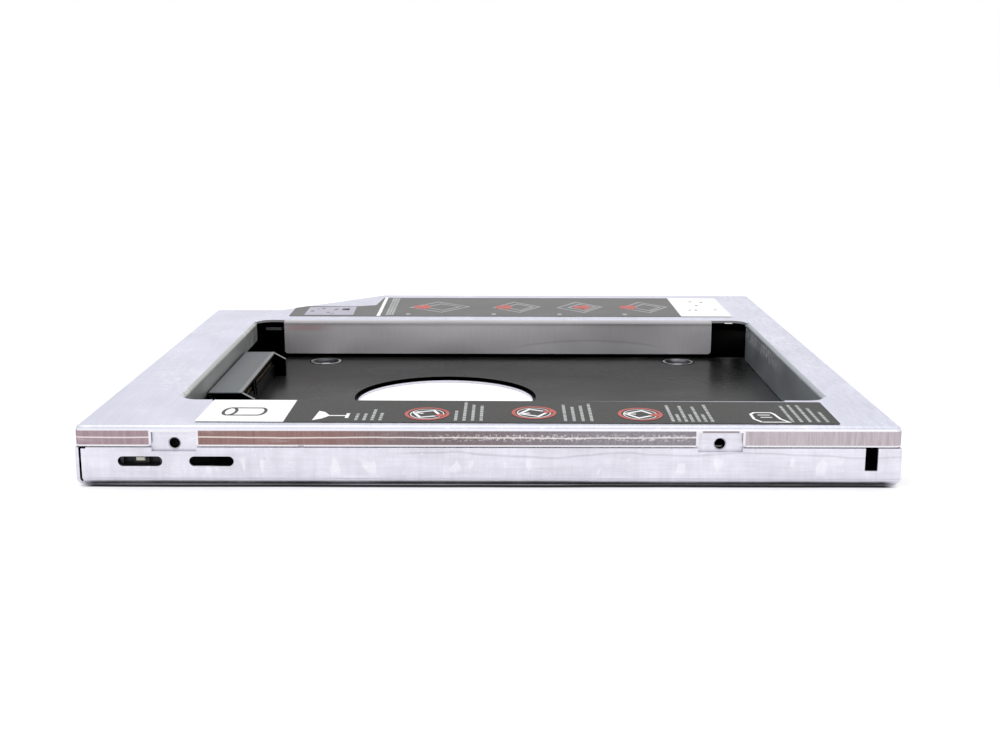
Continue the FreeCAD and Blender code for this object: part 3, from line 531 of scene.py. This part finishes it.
def cover_metal():
    """Rolled aluminium: streaked and pitted on top, duller and warmer on the bent flanges, whose
    tones are partly painted reflection. Faces inside the body are painted black as shade.
    """
    look = Look("cover_metal", COVER_TOP, 0.42, 1.0)
    low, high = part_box("top_cover")
    rear_x, front_x, near_y, far_y, top_z = (v / MM for v in (low.x, high.x, low.y, high.y, high.z))
    bounds = window_bounds(rear_x, front_x, near_y, far_y)
    facing_up = look.split(look.normal)[2]
    ribs = look.noise((2.6, 2.6, 0.2), detail=3.0, rough=0.65)
    grain = look.noise((7.0, 5.0, 7.0), detail=2.0)

    top, top_rough, streaks = cover_top(look, front_x)
    outer = outer_flanges(look, rear_x, top_z, ribs)
    inner, haze = window_flanges(look, bounds, top_z, ribs)
    inside = look.within(bounds, BEND)
    flat = look.between(inside, look.step(facing_up, 0.25, 0.7), look.step(facing_up, 0.90, 0.99))
    tone = look.mix(flat, look.mix(inside, outer, inner), top)

    # painted shade: faces turned down, and faces under the top behind the window's rim and the outer
    # flanges, are painted black
    below = look.step(facing_up, -0.5, -0.8)
    behind_window = look.both(look.within(bounds, 3.0), look.unless(look.within(bounds, SHEET / 2)))
    depth = look.outline_depth(rear_x, front_x, near_y, far_y)
    behind_outer = look.both(look.step(depth, SHEET * 0.4, SHEET * 0.7), look.unless(inside))
    under_top = look.step(look.z, top_z - SHEET + 0.05, top_z - SHEET - 0.05)
    behind = look.both(look.either(behind_window, behind_outer), under_top)
    look.color(look.mix(look.either(below, behind), tone, PAINTED_SHADE_BLACK))
    dull = look.between(inside, look.vary(ribs, 0.22, 0.34), look.vary(haze, 0.38, 0.50))
    look.rough(look.between(flat, dull, top_rough))
    look.bump(look.plus(look.times(grain, 0.4), look.times(streaks, 0.6)), METAL_RELIEF)
    return look.material


def shell_wall(look, rear_x, rolled, drips, clouds):
    """Colour of the shell's walls: lilac clouds, rolling marks, bright scuffs, and painted shade
    along a crease and a soft fold.
    """
    marks = look.noise((0.55, 0.55, 0.22), detail=1.0, shift=(1, 4, 0))
    scuffs = look.noise((0.5, 0.5, 0.9), detail=5.0, rough=0.75, shift=(9, 2, 5))
    tone = look.shade(SHELL_METAL, look.vary(clouds, 0.86, 1.10))
    tone = look.shade(tone, look.vary(rolled, 0.95, 1.04))
    tone = look.shade(tone, look.vary(drips, 0.94, 1.05))
    tone = look.mix(look.times(look.step(scuffs, 0.60, 0.70), 0.6), tone, SHELL_BRIGHT)
    marked = look.both(look.step(marks, 0.60, 0.66), look.band(look.z, MARKS_Z, 0.8, 0.9))
    tone = look.mix(look.times(marked, 0.35), tone, SHELL_BRIGHT)
    # painted shade along the crease
    crease = look.both(look.band(look.z, CREASE_Z, 0.03, 0.12), look.vary(clouds, 0.0, 0.5))
    tone = look.mix(crease, tone, SHELL_CREASE_SHADE)
    # painted shade along a soft fold
    wave = look.times(look.noise((0.06, 0.06, 0.0), detail=2.0, shift=(5, 0, 0)), 2.4)
    fold = look.band(look.plus(look.z, wave), FOLD_Z, 0.05, 0.22)
    fold = look.both(fold, look.step(look.x, *(rear_x + setback for setback in FOLD_START)))
    return look.shade(tone, look.unless(look.times(fold, 0.16)))


def shell_metal():
    """Bright plated sheet: painted black as shade inside the body and in the gap under the liner,
    dull on the raised rings in the window.
    """
    look = Look("shell_metal", SHELL_METAL, 0.36, 1.0)
    low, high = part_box("bottom_shell")
    x0, x1, y0, y1 = (v / MM for v in (low.x, high.x, low.y, high.y))
    clouds = look.noise((0.10, 0.10, 0.22), detail=4.0, rough=0.6)
    rolled = look.noise((0.15, 0.15, 2.8), detail=4.0, rough=0.6)
    drips = look.noise((0.9, 0.9, 0.12), detail=3.0, rough=0.7)
    tone = shell_wall(look, x0, rolled, drips, clouds)

    depth = look.outline_depth(x0, x1, y0, y1)
    ledge = LEDGE
    for setback in TAB_SETBACKS:
        at_tab = look.band(look.minus(look.x, x0), setback, TAB_HALF + 0.4, 0.1)
        ledge = look.minus(ledge, look.times(at_tab, TAB_DROP))
    above_ledge = look.step(look.minus(look.z, ledge), -0.15, -0.05)
    stepped = look.minus(depth, look.times(above_ledge, JOGGLE))
    window = look.within(window_bounds(x0, x1, y0, y1), 0.0)
    # painted shade: faces inside the body, away from the window, are painted black
    shade_zone = look.both(look.step(stepped, 0.36, 0.42), look.step(look.z, 0.42, 0.48))
    shade_zone = look.both(shade_zone, look.unless(window))
    dimple = look.noise((0.13, 0.28, 0.0), detail=1.0, shift=(0, 2, 0))
    dull = look.mix(look.step(dimple, 0.42, 0.58), RING_DARK, RING_LIGHT)
    tone = look.mix(look.both(window, look.step(look.z, SHEET + 0.02, SHEET + 0.10)), tone, dull)
    # painted shade: the floor's top in the window, in the gap under the liner, is painted black
    tone = look.mix(look.both(window, look.band(look.z, SHEET, 0.02, 0.02)), tone, PAINTED_SHADE_BLACK)
    look.color(look.mix(shade_zone, tone, PAINTED_SHADE_BLACK))
    look.rough(look.between(shade_zone, look.vary(clouds, 0.30, 0.46), 0.8))
    look.bump(look.plus(rolled, drips), METAL_RELIEF)
    return look.material


def plain_metal(name, color, rough):
    """Plated small metal: slight tone changes and fine grain."""
    look = Look(name, color, rough, 1.0)
    tone = look.noise((2.0, 2.0, 2.0), detail=3.0)
    grain = look.noise((9.0, 9.0, 9.0), detail=2.0)
    look.color(look.shade(color, look.vary(tone, 0.86, 1.12)))
    look.rough(look.vary(grain, rough * 0.75, rough * 1.3))
    look.bump(grain, SMALL_METAL_RELIEF)
    return look.material


# ---------------------------------------------------------------- plastics, board, labels
def plastic(name, color, rough, grain_mm=0.12):
    """Moulded plastic: fine spark-eroded grain, slightly uneven tone."""
    look = Look(name, color, rough)
    per = 1 / grain_mm
    grain = look.noise((per, per, per), detail=2.0)
    clouds = look.noise((0.3, 0.3, 0.3), detail=3.0)
    look.color(look.shade(color, look.vary(clouds, 0.90, 1.10)))
    look.rough(look.vary(clouds, rough - 0.05, rough + 0.07))
    look.bump(grain, PLASTIC_RELIEF)
    return look.material


def socket_plastic():
    """Black moulding of the drive socket: painted light on top, painted highlights at its lip and on
    the slope before its mouth, and painted shade, black and unreflecting, in its mouth and
    elsewhere.
    """
    look = Look("socket_plastic", SOCKET_BLACK, 0.45)
    low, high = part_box("drive_socket_housing")
    top_z, mouth_x = high.z / MM, low.x / MM + SOCKET_DEPTH
    grain = look.noise((6.0, 6.0, 6.0), detail=2.0)
    clouds = look.noise((0.22, 0.12, 0.3), detail=3.0)
    # painted light: the lit grey of the socket's top
    rubbed = look.mix(look.vary(clouds, 0.0, 1.0), SOCKET_COOL, SOCKET_WARM)
    on_top = look.step(look.z, top_z - 0.25, top_z - 0.12)
    # painted highlight along the lip
    lip = look.both(look.band(look.z, SOCKET_LIP, 0.05, 0.10),
                    look.band(look.x, mouth_x + 0.08, 0.10, 0.06))
    slope = look.both(look.step(look.x, mouth_x + 0.05, mouth_x + 0.15),
                      look.step(look.split(look.normal)[2], 0.3, 0.6))
    # painted highlight on the slope before the mouth
    lit_slope = look.both(slope, look.step(look.z, SOCKET_LIP, SOCKET_LIP + 0.3))
    tone = look.mix(on_top, SOCKET_SHADE, rubbed)
    tone = look.mix(look.both(lip, look.vary(clouds, 0.5, 1.0)), tone, SOCKET_LIP_HIGHLIGHT)
    look.color(look.mix(lit_slope, tone, SOCKET_SLOPE_HIGHLIGHT))
    # painted shade: all but the lit parts is black metal that reflects nothing
    lit = look.either(on_top, look.either(lip, slope))
    look.link(look.unless(lit), look.shader.inputs["Metallic"])
    look.rough(look.vary(clouds, 0.42, 0.55))
    look.shader.inputs["IOR"].default_value = SATIN_IOR
    look.bump(grain, PLASTIC_RELIEF)
    return look.material


def knob_plastic():
    """Grey-beige knob tip, with the slider behind it painted black as shade."""
    look = Look("knob_plastic", KNOB_BEIGE, 0.42)
    grain = look.noise((9.0, 9.0, 9.0), detail=2.0)
    tip_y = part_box("mode_switch_knob")[0].y / MM
    tone = look.shade(KNOB_BEIGE, look.vary(grain, 0.95, 1.05))
    look.color(look.mix(look.step(look.y, tip_y + 0.35, tip_y + 0.8), tone, PAINTED_SHADE_BLACK))
    look.bump(grain, FINE_RELIEF)
    return look.material


def liner_plastic():
    """Thin black sheet: fine embossed grain, a few rubbed patches, black cut edges deepened to an
    unreflecting painted shade, and painted shade under the cover.
    """
    look = Look("liner_plastic", LINER_BLACK, 0.30)
    grain = look.noise((4.5, 4.5, 4.5), detail=2.0)
    rubbed = look.noise((0.05, 0.09, 0.1), detail=3.0)
    dust = look.step(look.noise((3.2, 3.2, 3.2), detail=1.0, shift=(2, 7, 0)), 0.74, 0.78)
    tone = look.mix(look.vary(rubbed, 0.0, 1.0), LINER_BLACK, LINER_RUBBED)
    tone = look.mix(look.times(dust, 0.06), tone, LINER_DUST)
    low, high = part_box("top_cover")
    outline = (v / MM for v in (low.x, high.x, low.y, high.y))
    level = look.unsigned(look.split(look.normal)[2])
    # painted shade: under the cover, outside the window, the sheet is painted black
    outside = look.unless(look.within(window_bounds(*outline), 0.6))
    # the cut edges: their own black, deepened to a painted shade that reflects nothing
    edge = look.either(look.step(level, 0.6, 0.4), outside)
    look.color(look.mix(edge, tone, BLACK))
    look.link(edge, look.shader.inputs["Metallic"])
    look.rough(look.between(edge, look.vary(rubbed, 0.24, 0.34), 1.0))
    look.shader.inputs["IOR"].default_value = LINER_IOR
    look.bump(grain, FINE_RELIEF)
    return look.material


def board_black():
    """Black solder mask over laminate: the edge of the copper pour shows through it."""
    look = Look("board_black", BOARD_BLACK, 0.30)
    pour = look.step(look.noise((0.35, 0.35, 0.0), detail=0.0), 0.46, 0.50)
    weave = look.noise((2.2, 2.2, 0.0), detail=2.0)
    tone = look.mix(pour, BOARD_BARE, BOARD_POUR)
    look.color(look.shade(tone, look.vary(weave, 0.93, 1.07)))
    look.rough(look.vary(weave, 0.26, 0.40))
    look.bump(pour, POUR_RELIEF)
    return look.material


def film(name, color, rough=0.50):
    """Printed label film: an even tone with paper-like mottling and slight gloss."""
    look = Look(name, color, rough)
    fibre = look.noise((3.0, 3.0, 3.0), detail=3.0, rough=0.6)
    clouds = look.noise((0.12, 0.12, 0.1), detail=2.0)
    tone = look.shade(color, look.vary(fibre, 0.93, 1.07))
    look.color(look.shade(tone, look.vary(clouds, 0.93, 1.07)))
    look.rough(look.vary(fibre, rough - 0.05, rough + 0.08))
    look.shader.inputs["IOR"].default_value = SATIN_IOR
    look.bump(fibre, FILM_RELIEF)
    return look.material


def fired_ceramic():
    """Speckled brown ceramic."""
    look = Look("fired_ceramic", CERAMIC, 0.6)
    speckle = look.noise((6, 6, 6), detail=3.0)
    look.color(look.mix(look.vary(speckle, 0, 1), CERAMIC_DARK, CERAMIC_LIGHT))
    look.bump(speckle, FINE_RELIEF)
    return look.material


def tantalum_case():
    """Mustard epoxy with a brown band at the positive end."""
    look = Look("tantalum_case", TANTALUM, 0.45)
    end_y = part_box("tantalum_capacitor_body")[1].y / MM
    grain = look.noise((5, 5, 5), detail=2.0)
    band = look.step(look.y, end_y - 0.6, end_y - 0.55)
    tone = look.mix(band, TANTALUM, TANTALUM_BAND)
    look.color(look.shade(tone, look.vary(grain, 0.92, 1.08)))
    look.bump(grain, FINE_RELIEF)
    return look.material


# ---------------------------------------------------------------- flat printed marks
class Print:
    """Flat marks in one ink on one label, in millimetres, made into one thin mesh."""

    def __init__(self, name, base_z, material):
        self.name, self.z, self.material = name, base_z, material
        self.shapes = []

    def area(self, points):
        self.shapes.append([Vector((x, y)) for x, y in points])

    def stroke(self, points, width=STROKE, closed=False):
        """A line of even width through the points, with mitred corners."""
        line = [Vector(p) for p in points]
        count = len(line)
        left, right = [], []
        for i, p in enumerate(line):
            before = line[i - 1] if i or closed else None
            after = line[(i + 1) % count] if i < count - 1 or closed else None
            a = (p - before).normalized() if before is not None else (after - p).normalized()
            b = (after - p).normalized() if after is not None else a
            side = Vector((-a.y - b.y, a.x + b.x)).normalized()
            reach = width / 2 / max(MITRE_LIMIT, side.dot(Vector((-a.y, a.x))))
            left.append(p + side * reach)
            right.append(p - side * reach)
        spans = count if closed else count - 1
        for i in range(spans):
            j = (i + 1) % count
            self.shapes.append([left[i], right[i], right[j], left[j]])

    def box(self, x0, x1, y0, y1):
        self.area([(x0, y0), (x1, y0), (x1, y1), (x0, y1)])

    def ring(self, x, y, rx, ry, width):
        self.stroke(oval(x, y, rx, ry, RING_SIDES), width, closed=True)

    def dot(self, x, y, r):
        self.area(oval(x, y, r, r, DOT_SIDES))

    def row(self, x, y0, y1, width, rng):
        """A row of small dashes along Y, in the place of a line of small print."""
        y = y0
        while y < y1 - 0.2:
            end = min(y + rng.uniform(*DASH), y1)
            self.box(x - width / 2, x + width / 2, y, end)
            y = end + rng.uniform(*GAP)

    def turn(self, angle, about):
        self.shapes = [[Vector(p) for p in turned([(p.x, p.y) for p in shape], angle, about)]
                       for shape in self.shapes]

    def build(self, body="caddy", slot="grey_label"):
        mesh = bmesh.new()
        for shape in self.shapes:
            area = sum(a.x * b.y - b.x * a.y for a, b in zip(shape, shape[1:] + shape[:1]))
            points = shape if area > 0 else shape[::-1]
            top = [mesh.verts.new((p.x * MM, p.y * MM, self.z + PRINT_RISE * MM)) for p in points]
            foot = [mesh.verts.new((p.x * MM, p.y * MM, self.z)) for p in points]
            mesh.faces.new(top)
            for i in range(len(points)):
                j = (i + 1) % len(points)
                mesh.faces.new((top[j], top[i], foot[i], foot[j]))
        data = bpy.data.meshes.new(self.name)
        mesh.to_mesh(data)
        mesh.free()
        data.materials.append(self.material)
        made = bpy.data.objects.new(self.name, data)
        bpy.context.scene.collection.objects.link(made)
        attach(made, body)
        return made


def oval(x, y, rx, ry, sides):
    """Corners of an oval round a point."""
    turn = [2 * math.pi * i / sides for i in range(sides)]
    return [(x + rx * math.cos(a), y + ry * math.sin(a)) for a in turn]


def turned(points, angle, about):
    """Points turned by angle degrees about a point."""
    a = math.radians(angle)
    cx, cy = about
    return [(cx + (x - cx) * math.cos(a) - (y - cy) * math.sin(a),
             cy + (x - cx) * math.sin(a) + (y - cy) * math.cos(a)) for x, y in points]


def drum_icon(ink, x, y, length, height):
    """Outline of a lying drum, the usual sign for a drive."""
    r = height / 2
    rx = r * 0.42
    end = length / 2 - rx
    steps = [math.pi * i / 12 for i in range(13)]
    right = [(x + end + rx * math.sin(a), y + r * math.cos(a)) for a in steps]
    left = [(x - end - rx * math.sin(a), y - r * math.cos(a)) for a in steps]
    seam = [(x - end + rx * math.sin(a), y - r * math.cos(a)) for a in steps]
    ink.stroke(right + left, 0.5, closed=True)
    ink.stroke(seam, 0.5)


def goblet_icon(ink, x, y, length, height):
    """A plain stemmed glass lying along X, foot to the front."""
    bowl, foot = length * 0.42, length * 0.10
    x0, x1 = x - length / 2, x + length / 2
    h, stem = height / 2, 0.25
    ink.area([(x0, y - h), (x0 + bowl * 0.6, y - h * 0.62), (x0 + bowl, y - stem),
              (x0 + bowl, y + stem), (x0 + bowl * 0.6, y + h * 0.75), (x0 + bowl * 0.15, y + h)])
    ink.box(x0 + bowl, x1 - foot, y - stem, y + stem)
    ink.box(x1 - foot, x1, y - h * 0.5, y + h * 0.5)


def ring_icon(red, pale, x, y, r, tilt):
    """A red ring round a plain tilted square outline."""
    red.ring(x, y, r, r * 1.16, 0.55)
    pale.ring(x, y, r * 0.80, r * 0.94, 0.16)
    side = r * 0.52
    square = [(x - side, y - side), (x + side, y - side),
              (x + side, y + side), (x - side, y + side)]
    pale.stroke(turned(square, tilt, (x, y)), 0.5, closed=True)
    rim, half = r * 0.92, 0.7
    bar = [(x + side, y - half), (x + rim, y - half), (x + rim, y + half), (x + side, y + half)]
    tick = [(x - side * 1.3, y), (x - side * 0.4, y)]
    red.area(turned(bar, tilt - 45, (x, y)))
    pale.stroke(turned(tick, tilt - 45, (x, y)), 0.45)


def booklet_icon(ink, x0, x1, y0, y1):
    """Outline of an open booklet lying along X."""
    bend = (y1 - y0) * 0.16
    ink.stroke([(x0 + 0.9, y0), (x0, y0 + bend * 2), (x0, y1 - bend), (x0 + 0.7, y1),
                (x1 - 0.6, y1), (x1 - 0.2, y1 - bend), (x1 + 0.2, y0 + bend * 2),
                (x1 + 1.2, y0), (x0 + 0.9, y0)])
    ink.stroke([(x0 + 1.0, y1 - bend * 1.6), (x1 - 1.0, y1 - bend * 1.6)], 0.36)
    ink.stroke([(x0 + 1.2, (y0 + y1) / 2), (x1 - 0.9, (y0 + y1) / 2)], 0.36)


def near_marks(white, pale, red, dark, rng):
    """Everything on the near label, in mm from its rear near corner before it is turned."""
    low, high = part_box("near_label")
    length, width = NEAR_LABEL_SIZE
    centre_x, centre_y = (low.x + high.x) / 2 / MM, (low.y + high.y) / 2 / MM
    x0, y0, y1 = centre_x - length / 2, centre_y - width / 2, centre_y + width / 2
    bottom = y0 + TEXT_FOOT

    white.box(x0, x0 + 13.6, y0, y1)
    drum_icon(dark, x0 + 6.5, (y0 + y1) / 2 - 0.8, 6.6, 4.7)
    goblet_icon(white, x0 + 20.6, y0 + 4.0, 5.4, 5.9)
    for i, reach in enumerate((4.3, 4.3, 7.3, 4.6)):
        pale.row(x0 + 24.6 + i * FINE_PITCH, bottom, bottom + reach, TEXT_WIDTH, rng)
    groups = (    # ring's place and tilt, first row's place, rows' spacing and lengths
        (35.4, 4.6, 20, 40.0, 1.32, (6.3, 12.2, 10.4, 9.7)),
        (52.2, 5.6, 62, 57.0, 1.36, (10.6, 9.3, 10.0, 11.3)),
        (68.9, 4.9, 35, 73.6, 2.02, (10.4, 10.3, 9.6, 10.9)),
    )
    for ring_x, ring_y, tilt, text_x, pitch, reaches in groups:
        ring_icon(red, white, x0 + ring_x, y0 + ring_y + 0.7, 3.25, tilt)
        for i, reach in enumerate(reaches):
            pale.row(x0 + text_x + i * pitch, bottom, bottom + reach, TEXT_WIDTH, rng)
            if pitch > 1.6 and i:
                pale.row(x0 + text_x + (i - 0.5) * pitch, bottom, bottom + 4.6, TEXT_WIDTH, rng)
    booklet_icon(white, x0 + 86.3, x0 + 90.2, y0 + 1.0, y0 + 7.0)
    for i, reach in enumerate((10.4, 11.0, 11.0, 9.0, 6.4)):
        pale.row(x0 + 92.0 + i * WIDE_PITCH, bottom, bottom + reach, TEXT_WIDTH, rng)
    for ink in (white, pale, red, dark):
        ink.turn(NEAR_LABEL_TILT, (centre_x, centre_y))


def tray_icon(ink, red, x, y, length, height, arrow_x):
    """Two nested tilted outlines and a small red arrow."""
    for share, shift in ((1.0, 0.0), (0.62, 0.5)):
        a, b = length / 2 * share, height / 2 * share
        outline = [(x - a + shift, y - b * 0.1), (x + a * 0.1 + shift, y - b),
                   (x + a + shift, y + b * 0.1), (x - a * 0.1 + shift, y + b)]
        ink.stroke(outline, 0.75, closed=True)
    shaft = height * 0.13
    barb = shaft * 2.2
    back, neck, tip = arrow_x - 1.9, arrow_x + 0.3, arrow_x + 2.1
    red.area([(back, y - shaft), (neck, y - shaft), (neck, y - barb), (tip, y),
              (neck, y + barb), (neck, y + shaft), (back, y + shaft)])


def far_marks(white, pale, red, dark, faint, patch, rng):
    """Everything on the far label, in mm from its rear near corner."""
    low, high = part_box("far_label")
    x0, x1, y0, y1 = low.x / MM, high.x / MM, low.y / MM, high.y / MM
    patch.area([(x0 + 3.2, y0 + 1.2), (x0 + 14.2, y0 + 1.2),
                (x0 + 13.9, y0 + 12.6), (x0 + 3.2, y0 + 11.6)])
    for i in range(9):
        spot_x, spot_y = x0 + 4.2 + rng.uniform(0, 8.6), y0 + 2.4 + rng.uniform(0, 8.0)
        dark.dot(spot_x, spot_y, rng.uniform(0.2, 0.5))
    dark.box(x0 + 11.0, x0 + 12.6, y0 + 7.4, y0 + 9.8)
    white.area([(x0 + 19.5, y0), (x0 + 20.3, y0), (x0 + 20.2, y1), (x0 + 19.5, y1)])
    for i in range(3):
        pale.row(x0 + 21.7 + i * FAR_PITCH, y0 + 1.0, y1 - 0.8, 0.5, rng)
    steps = ((33.2, 13.5, -4.0), (51.0, 10.6, -2.9), (65.6, 10.2, 0.6), (80.5, 10.6, -3.6))
    for x, length, arrow in steps:    # place, length, and the arrow's place beside it
        tray_icon(faint, red, x0 + x, y0 + 12.0, length, 14.2, x0 + x + arrow)
        pale.row(x0 + x - length / 2, y0 + 1.6, y0 + 3.4, 0.9, rng)
    white.box(x0 + 87.6, x1, y0, y1)
    spots = ((92.4, 20.2, 0.42), (94.9, 19.4, 0.42), (93.1, 14.7, 0.38),
             (90.7, 8.4, 0.34), (92.1, 8.4, 0.38), (96.6, 8.8, 0.34))
    for x, y, r in spots:
        dark.dot(x0 + x, y0 + y, r)


def make_marks():
    """Prints both labels, one mesh for each ink."""
    inks = {
        "white": film("ink_white", LABEL_WHITE, 0.42),
        "pale": film("ink_pale", INK_PALE, 0.42),
        "red": film("ink_red", INK_RED, 0.40),
        "dark": film("ink_dark", INK_DARK, 0.40),
        "faint": film("ink_faint", INK_FAINT, 0.42),
        "patch": film("ink_patch", PATCH_PALE, 0.42),
    }
    labels = (("near_label", near_marks, ("white", "pale", "red", "dark"), 3),
              ("far_label", far_marks, inks, 5))
    for label, draw, names, seed in labels:
        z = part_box(label)[1].z
        prints = {name: Print(f"{label}_{name}", z, inks[name]) for name in names}
        for name, layer in INK_LAYERS.items():
            if name in prints:
                prints[name].z = z + layer * PRINT_RISE * MM
        draw(*prints.values(), random.Random(seed))
        for ink in prints.values():
            ink.build()


# ---------------------------------------------------------------- materials on the CAD nodes
def dress_nodes():
    """Gives every CAD node its material."""
    black = plastic("connector_black", CONNECTOR_BLACK, 0.38)
    gold = plain_metal("gold_plate", GOLD, 0.22)
    tin = plain_metal("tin_plate", TIN, 0.30)
    nickel = plain_metal("nickel_steel", NICKEL, 0.28)
    epoxy = plastic("chip_epoxy", CHIP_BLACK, 0.55, grain_mm=0.08)
    grey_film = film("label_grey", LABEL_GREY)
    far_film = film("label_grey_far", LABEL_GREY_FAR)
    looks = {
        "top_cover": cover_metal(),
        "bottom_shell": shell_metal(),
        "floor_liner": liner_plastic(),
        "cover_posts": plain_metal("near_black_steel", NEAR_BLACK_STEEL, 0.45),
        "adapter_board": board_black(),
        "drive_socket_housing": socket_plastic(),
        "near_label": grey_film,
        "far_label": far_film,
        # painted shade on the switch case
        "mode_switch_case": plain_metal("shaded_steel", SHADED_STEEL, 0.45),
        "mode_switch_knob": knob_plastic(),
        "ceramic_capacitor_bodies": fired_ceramic(),
        "tantalum_capacitor_body": tantalum_case(),
        "resistor_bodies": epoxy,
        "signal_chip_body": epoxy,
    }
    for name in ("host_plug_housing", "mode_switch_base"):
        looks[name] = black
    for name in ("drive_socket_signal_contacts", "drive_socket_power_contacts",
                 "host_plug_signal_contacts", "host_plug_power_contacts"):
        looks[name] = gold
    for name in ("drive_socket_hold_downs", "host_plug_hold_downs", "mode_switch_terminals",
                 "ceramic_capacitor_ends", "resistor_ends", "tantalum_capacitor_ends",
                 "signal_chip_leads"):
        looks[name] = tin
    for name in ("cover_screws", "board_standoffs", "board_screws"):
        looks[name] = nickel
    for name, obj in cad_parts.items():
        obj.data.materials.clear()
        obj.data.materials.append(looks[name])


# ---------------------------------------------------------------- stage
def make_floor():
    """A pale floor with a slight glow, and a painted contact shadow where the body's near side meets
    it.
    """
    look = Look("stage_white", FLOOR_WHITE, 0.9)
    low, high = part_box("bottom_shell")
    paper = look.noise((0.4, 0.4, 0.4), detail=3.0)
    uneven = look.noise((0.04, 0.04, 0.4), detail=2.0)
    half_x, half_y = (high.x - low.x) / 2 / MM, (high.y - low.y) / 2 / MM
    beside = look.minus(look.unsigned(look.y), half_y)
    reach = look.plus(beside, look.vary(uneven, -0.10, 0.15))
    # painted contact shadow: the floor is painted dark along the body's near side
    contact = look.both(look.step(reach, CONTACT_SHADOW, 0.2), look.step(reach, *CONTACT_UNDER))
    contact = look.both(contact, look.step(look.unsigned(look.x), half_x, half_x - CONTACT_CORNER))
    contact = look.both(contact, look.step(look.y, 0.0, -1.0))
    tone = look.shade(FLOOR_WHITE, look.vary(paper, 0.995, 1.005))
    look.color(look.mix(contact, tone, PAINTED_CONTACT_SHADOW))
    glow = look.times(look.unless(contact), FLOOR_GLOW)
    look.shader.inputs["Emission Color"].default_value = (1, 1, 1, 1)
    look.link(glow, look.shader.inputs["Emission Strength"])
    bpy.ops.mesh.primitive_plane_add(size=FLOOR_SIZE, location=(0, 0, cad_low.z - FLOOR_DROP))
    floor = bpy.context.object
    floor.name = "floor"
    floor.data.materials.append(look.material)


def make_world():
    """Even white light from all round."""
    world = bpy.data.worlds.new("studio")
    world.use_nodes = True
    background = world.node_tree.nodes["Background"]
    background.inputs["Color"].default_value = (1.0, 1.0, 1.0, 1)
    background.inputs["Strength"].default_value = WORLD_LIGHT
    bpy.context.scene.world = world


def make_area_light(name, place, size, power):
    """A soft light at place, aimed at the body's middle."""
    data = bpy.data.lights.new(name, "AREA")
    data.shape = "RECTANGLE"
    data.size, data.size_y = size
    data.energy = power
    lamp = bpy.data.objects.new(name, data)
    lamp.location = place
    lamp.rotation_euler = (-Vector(place)).to_track_quat("-Z", "Y").to_euler()
    bpy.context.scene.collection.objects.link(lamp)


def make_camera():
    """The camera that was fitted to the photograph."""
    down, yaw, roll = (math.radians(a) for a in (CAMERA_DOWN, CAMERA_YAW, CAMERA_ROLL))
    level_part = math.cos(down)
    ahead = Vector((math.sin(yaw) * level_part, math.cos(yaw) * level_part, -math.sin(down)))
    level = Vector((math.cos(yaw), -math.sin(yaw), 0))
    upright = level.cross(ahead)
    right = level * math.cos(roll) + upright * math.sin(roll)
    up = upright * math.cos(roll) - level * math.sin(roll)
    data = bpy.data.cameras.new("camera")
    data.sensor_width = CAMERA_SENSOR
    data.lens = CAMERA_LENS
    data.clip_start = CAMERA_CLIP
    camera = bpy.data.objects.new("camera", data)
    turn = Matrix((right, up, -ahead)).transposed().to_4x4()
    camera.matrix_world = Matrix.Translation(Vector(CAMERA_PLACE)) @ turn
    bpy.context.scene.collection.objects.link(camera)
    bpy.context.scene.camera = camera


dress_nodes()
make_marks()
make_floor()
make_world()
make_area_light("overhead", **OVERHEAD)
make_area_light("front", **FRONT)
make_camera()
bpy.context.scene.view_settings.view_transform = "Standard"
